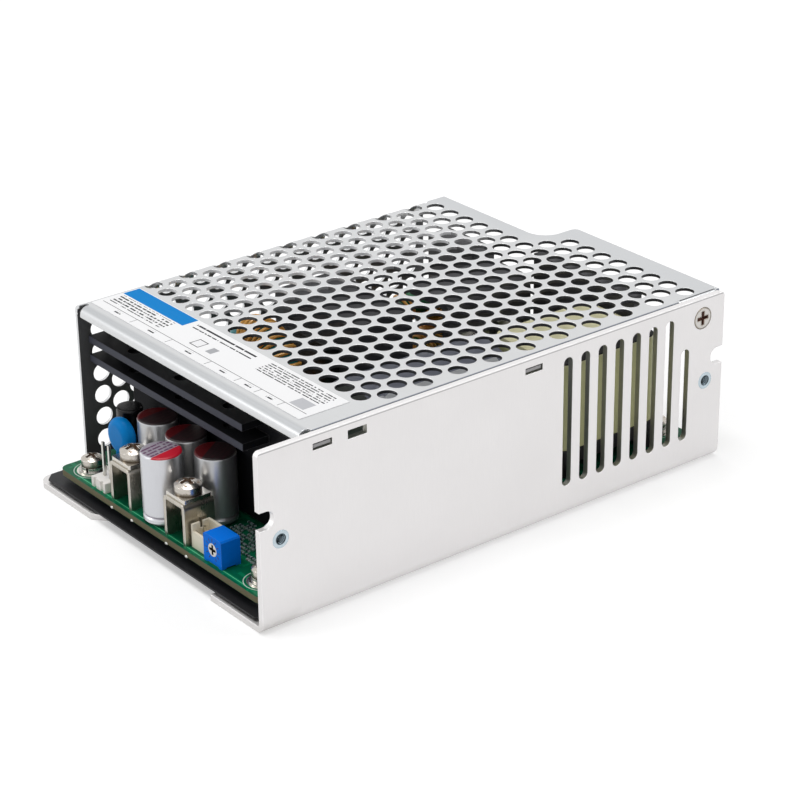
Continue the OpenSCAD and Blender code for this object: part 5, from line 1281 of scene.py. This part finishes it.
@dataclass
class PowerStage(SubAssembly):
    """Transformer, bulk capacitor and the primary heatsink with its transistors."""

    sleeve_l: float = 40.0

    def build(self) -> None:
        """Dresses the power stage."""
        self.dress(Finish("ground_ferrite", screen(78, 78, 81), 0.6, tone=0.25, patch=0.2, edge=0.15,
                          specular=0.3), "transformer_core")
        self.dress(Finish("black_tape", screen(36, 34, 32), 0.4, grain=Grain.WOUND, tone=0.15, patch=0.15,
                          bump=0.01, edge=0.1), "transformer_winding")
        self.dress(self.sleeve_finish(), "bulk_capacitor")
        self.dress(Finish("grey_anodised", screen(82, 82, 85), 0.5, grain=Grain.UPRIGHT, tone=0.12,
                          patch=0.12, edge=0.15, specular=0.3), "primary_heatsink", "bridge_heatsink")
        self.dress(package_finish("transistor_package", "primary_transistors"), "primary_transistors")

    def sleeve_finish(self) -> Finish:
        """Dark sleeve with a pale stripe along the side, and tinned leads in front of it.

        Returns:
            The finish of the bulk capacitor.
        """
        box = NodeBox.of("bulk_capacitor")
        front = box.high[1] - self.sleeve_l
        leads = Field((0, front - DEPTH, 0), (REACH, DEPTH, REACH), TIN, 0.25, 1.0)
        stripe = Field((box.middle[0] + 9.0, box.middle[1], box.high[2]), (2.4, 18.0, 8.0),
                       screen(196, 198, 202), 0.3)
        return Finish("dark_sleeve", screen(112, 116, 130), 0.34, patch=0.1, edge=0.3, coat=0.1,
                      fields=(stripe, leads))


@dataclass
class LineStage(SubAssembly):
    """Line side: chokes, bridge, filter capacitor, fuse, surge parts and the inlet."""

    bridge_low: float = 11.55
    ring_r: float = 7.0
    core_r: float = 3.05
    wire_d: float = 0.72
    lead_d: float = 1.0
    lead_out: tuple[float, float] = (3.6, 5.6)
    lead_drop: float = 4.2

    def build(self) -> None:
        """Dresses the line side and winds the line choke."""
        tape = NodeBox.of("taped_choke")
        # Painted light and shade on the tape's top: lighter over the top, and dark on the part nearest +X.
        near_top_shade = Field((tape.high[0], tape.middle[1], tape.high[2]), (11.5, 40.0, 0.25), screen(28, 27, 27), 0.5)
        top = Field((*tape.middle[:2], tape.high[2]), (40.0, 40.0, 0.6), screen(255, 250, 206), 0.4, soft=0.3)
        self.dress(Finish("yellow_tape", screen(250, 250, 190), 0.4, grain=Grain.WOUND, patch=0.12, bump=0.01,
                          edge=0.2, specular=0.2, fields=(top, near_top_shade)), "taped_choke")
        self.dress(Finish("green_coating", screen(22, 112, 66), 0.4, grain=Grain.COARSE, tone=0.15,
                          bump=0.01), "line_choke_core")
        self.dress(Finish("bridge_package", screen(32, 32, 33), 0.5, tone=0.2, edge=0.15,
                          fields=(tinned_below(self.bridge_low),)), "bridge_rectifier")
        self.dress(Finish("grey_box", screen(84, 84, 86), 0.5, tone=0.1, edge=0.2, specular=0.3),
                   "line_capacitor")
        self.dress(Finish("brown_moulding", screen(64, 44, 36), 0.38, edge=0.2), "fuse")
        green = Finish("green_disc", screen(58, 92, 52), 0.45, grain=Grain.COARSE, tone=0.12, bump=0.01,
                       edge=0.1)
        self.dress(green, "thermistor")
        self.dress(replace(green, name="blue_disc", colour=screen(24, 92, 168), roughness=0.35), "varistor")
        self.dress(Finish("inlet_moulding", screen(224, 222, 214), 0.45, edge=0.15), "inlet_header")
        self.wind_choke()

    def wind_choke(self) -> None:
        """Winds the two halves of the line choke and drops their four leads to the board."""
        core = NodeBox.of("line_choke_core")
        low = NodeBox.of("line_choke_windings").low[2]
        x, y, z = core.middle
        halves = [WoundRing(core.middle, (0, 0, -1), (0, 1, 0), ring=self.ring_r, core=self.core_r,
                            wire=self.wire_d, start=a + 20, sweep=140, turns=18, step=0.36).surface()
                  for a in (0, 180)]
        dx, dy = self.lead_out
        leads = [lead_surface((x + sx * dx, y + sy * dy), low, z - self.lead_drop, self.lead_d)
                 for sx in (-1, 1) for sy in (-1, 1)]
        self.add("line_choke_wire", joined([*halves, *leads]), COPPER, "wire_copper",
                 replaces=["line_choke_windings"])


@dataclass
class Studio:
    """Pale floor, soft light and the camera."""

    floor_half: float = 3.0
    floor_drop: float = 0.00005
    sky: float = 0.4
    floor_tone: Colour = (0.72, 0.72, 0.72)
    floor_glow: float = 0.36
    far_glow: float = 0.72
    far_from: float = 0.35
    far_to: float = 1.1
    camera_place: Point = (0.431663, -0.332488, 0.275648)
    camera_right: Point = (0.62112, 0.78364, -0.01067)
    camera_down: Point = (0.32868, -0.27283, -0.90417)
    camera_forward: Point = (-0.71146, 0.55810, -0.42703)
    lens: float = 114.77
    sensor: float = 36.0
    lamps: tuple[tuple[str, Point, float, float], ...] = (
        ("top_lamp", (-0.1, 0.0, 1.2), 0.6, 7.0),
        ("rear_lamp", (0.6, 0.8, 1.0), 0.4, 2.5),
        ("front_lamp", (-0.7, -1.1, 0.7), 0.5, 4.0),
    )

    def build(self, low: float) -> None:
        """Sets up the scene round the object.

        Args:
            low: Height that the object stands on, in metres.
        """
        self.set_sky()
        self.lay_floor(low)
        for name, place, size, power in self.lamps:
            self.hang_lamp(name, place, size, power)
        self.place_camera()

    @staticmethod
    def seen(g: Graph) -> bpy.types.NodeSocket:
        """Tells rays that show the background from those that only light the object.

        Args:
            g: Graph of the world or of the floor's material.

        Returns:
            1 for camera, glossy and transmission rays, and 0 for the others.
        """
        path = g.add("LightPath").outputs
        shown = g.math("MAXIMUM", path["Is Camera Ray"], path["Is Glossy Ray"])
        return g.math("MAXIMUM", shown, path["Is Transmission Ray"])

    def set_sky(self) -> None:
        """White world that lights the object softly and shows as plain white."""
        world = bpy.data.worlds.new("studio_sky")
        bpy.context.scene.world = world
        world.use_nodes = True
        g = Graph(world.node_tree)
        shade = g.tree.nodes["Background"]
        shade.inputs["Color"].default_value = (1, 1, 1, 1)
        g.feed(shade.inputs["Strength"], g.blend(self.seen(g), self.sky, 1.0))

    def lay_floor(self, low: float) -> None:
        """Lays a wide flat floor that looks white and keeps the object's shadow.

        Its own glow grows with the distance from the object, as the light of the lamps falls off.

        Args:
            low: Height that the object stands on, in metres.
        """
        line = np.linspace(-self.floor_half, self.floor_half, 9)
        x, y = np.meshgrid(line, line, indexing="ij")
        plane = grid_surface(np.stack([x, y, 0 * x + low - self.floor_drop], axis=-1), wrap_cols=False)
        mesh = bpy.data.meshes.new("studio_floor")
        mesh.from_pydata(plane.points.tolist(), [], plane.faces.tolist())
        material = bpy.data.materials.new("floor_paper")
        material.use_nodes = True
        g = Graph(material.node_tree)
        shader = g.tree.nodes["Principled BSDF"]
        shader.inputs["Base Color"].default_value = (*self.floor_tone, 1)
        shader.inputs["Roughness"].default_value = 0.9
        shader.inputs["Specular IOR Level"].default_value = 0.0
        shader.inputs["Emission Color"].default_value = (1, 1, 1, 1)
        coords = g.add("TexCoord").outputs["Object"]
        away = g.measure("LENGTH", coords)
        glow = g.blend(g.span(away, self.far_from, self.far_to), self.floor_glow, self.far_glow)
        g.feed(shader.inputs["Emission Strength"], g.math("MULTIPLY", self.seen(g), glow))
        mesh.materials.append(material)
        floor = bpy.data.objects.new("studio_floor", mesh)
        bpy.context.scene.collection.objects.link(floor)
        floor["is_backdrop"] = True

    @staticmethod
    def hang_lamp(name: str, place: Point, size: float, power: float) -> None:
        """Hangs a square lamp that faces the object.

        Args:
            name: Name of the lamp.
            place: Its place, in metres.
            size: Its side, in metres.
            power: Its power, in watts.
        """
        lamp = bpy.data.lights.new(name, "AREA")
        lamp.size = size
        lamp.energy = power
        holder = bpy.data.objects.new(name, lamp)
        holder.location = place
        holder.rotation_euler = (-Vector(place)).to_track_quat("-Z", "Y").to_euler()
        bpy.context.scene.collection.objects.link(holder)

    def place_camera(self) -> None:
        """Places the camera at the photograph's viewing angle."""
        camera = bpy.data.cameras.new("photo_camera")
        camera.lens = self.lens
        camera.sensor_width = self.sensor
        camera.clip_start = 0.01
        holder = bpy.data.objects.new("photo_camera", camera)
        axes = [self.camera_right, -Vector(self.camera_down), -Vector(self.camera_forward)]
        turn = Matrix([Vector(a) for a in axes]).transposed().to_4x4()
        holder.matrix_world = Matrix.Translation(self.camera_place) @ turn
        bpy.context.scene.collection.objects.link(holder)
        bpy.context.scene.camera = holder


def main() -> None:
    """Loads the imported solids, dresses every sub-assembly and sets up the studio."""
    logging.basicConfig(level=logging.INFO, format="%(message)s")
    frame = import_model()
    cad_box = [list(corner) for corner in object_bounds()]
    bpy.context.scene.view_settings.view_transform = "Standard"
    effects = Effects()
    for kind in (Case, Board, OutputEnd, OutputStage, PowerStage, LineStage):
        kind(frame["nodes"], effects).build()
        LOG.info("%s finished", kind.__name__)
    Studio().build(cad_box[0][2])


if __name__ == "__main__":
    main()
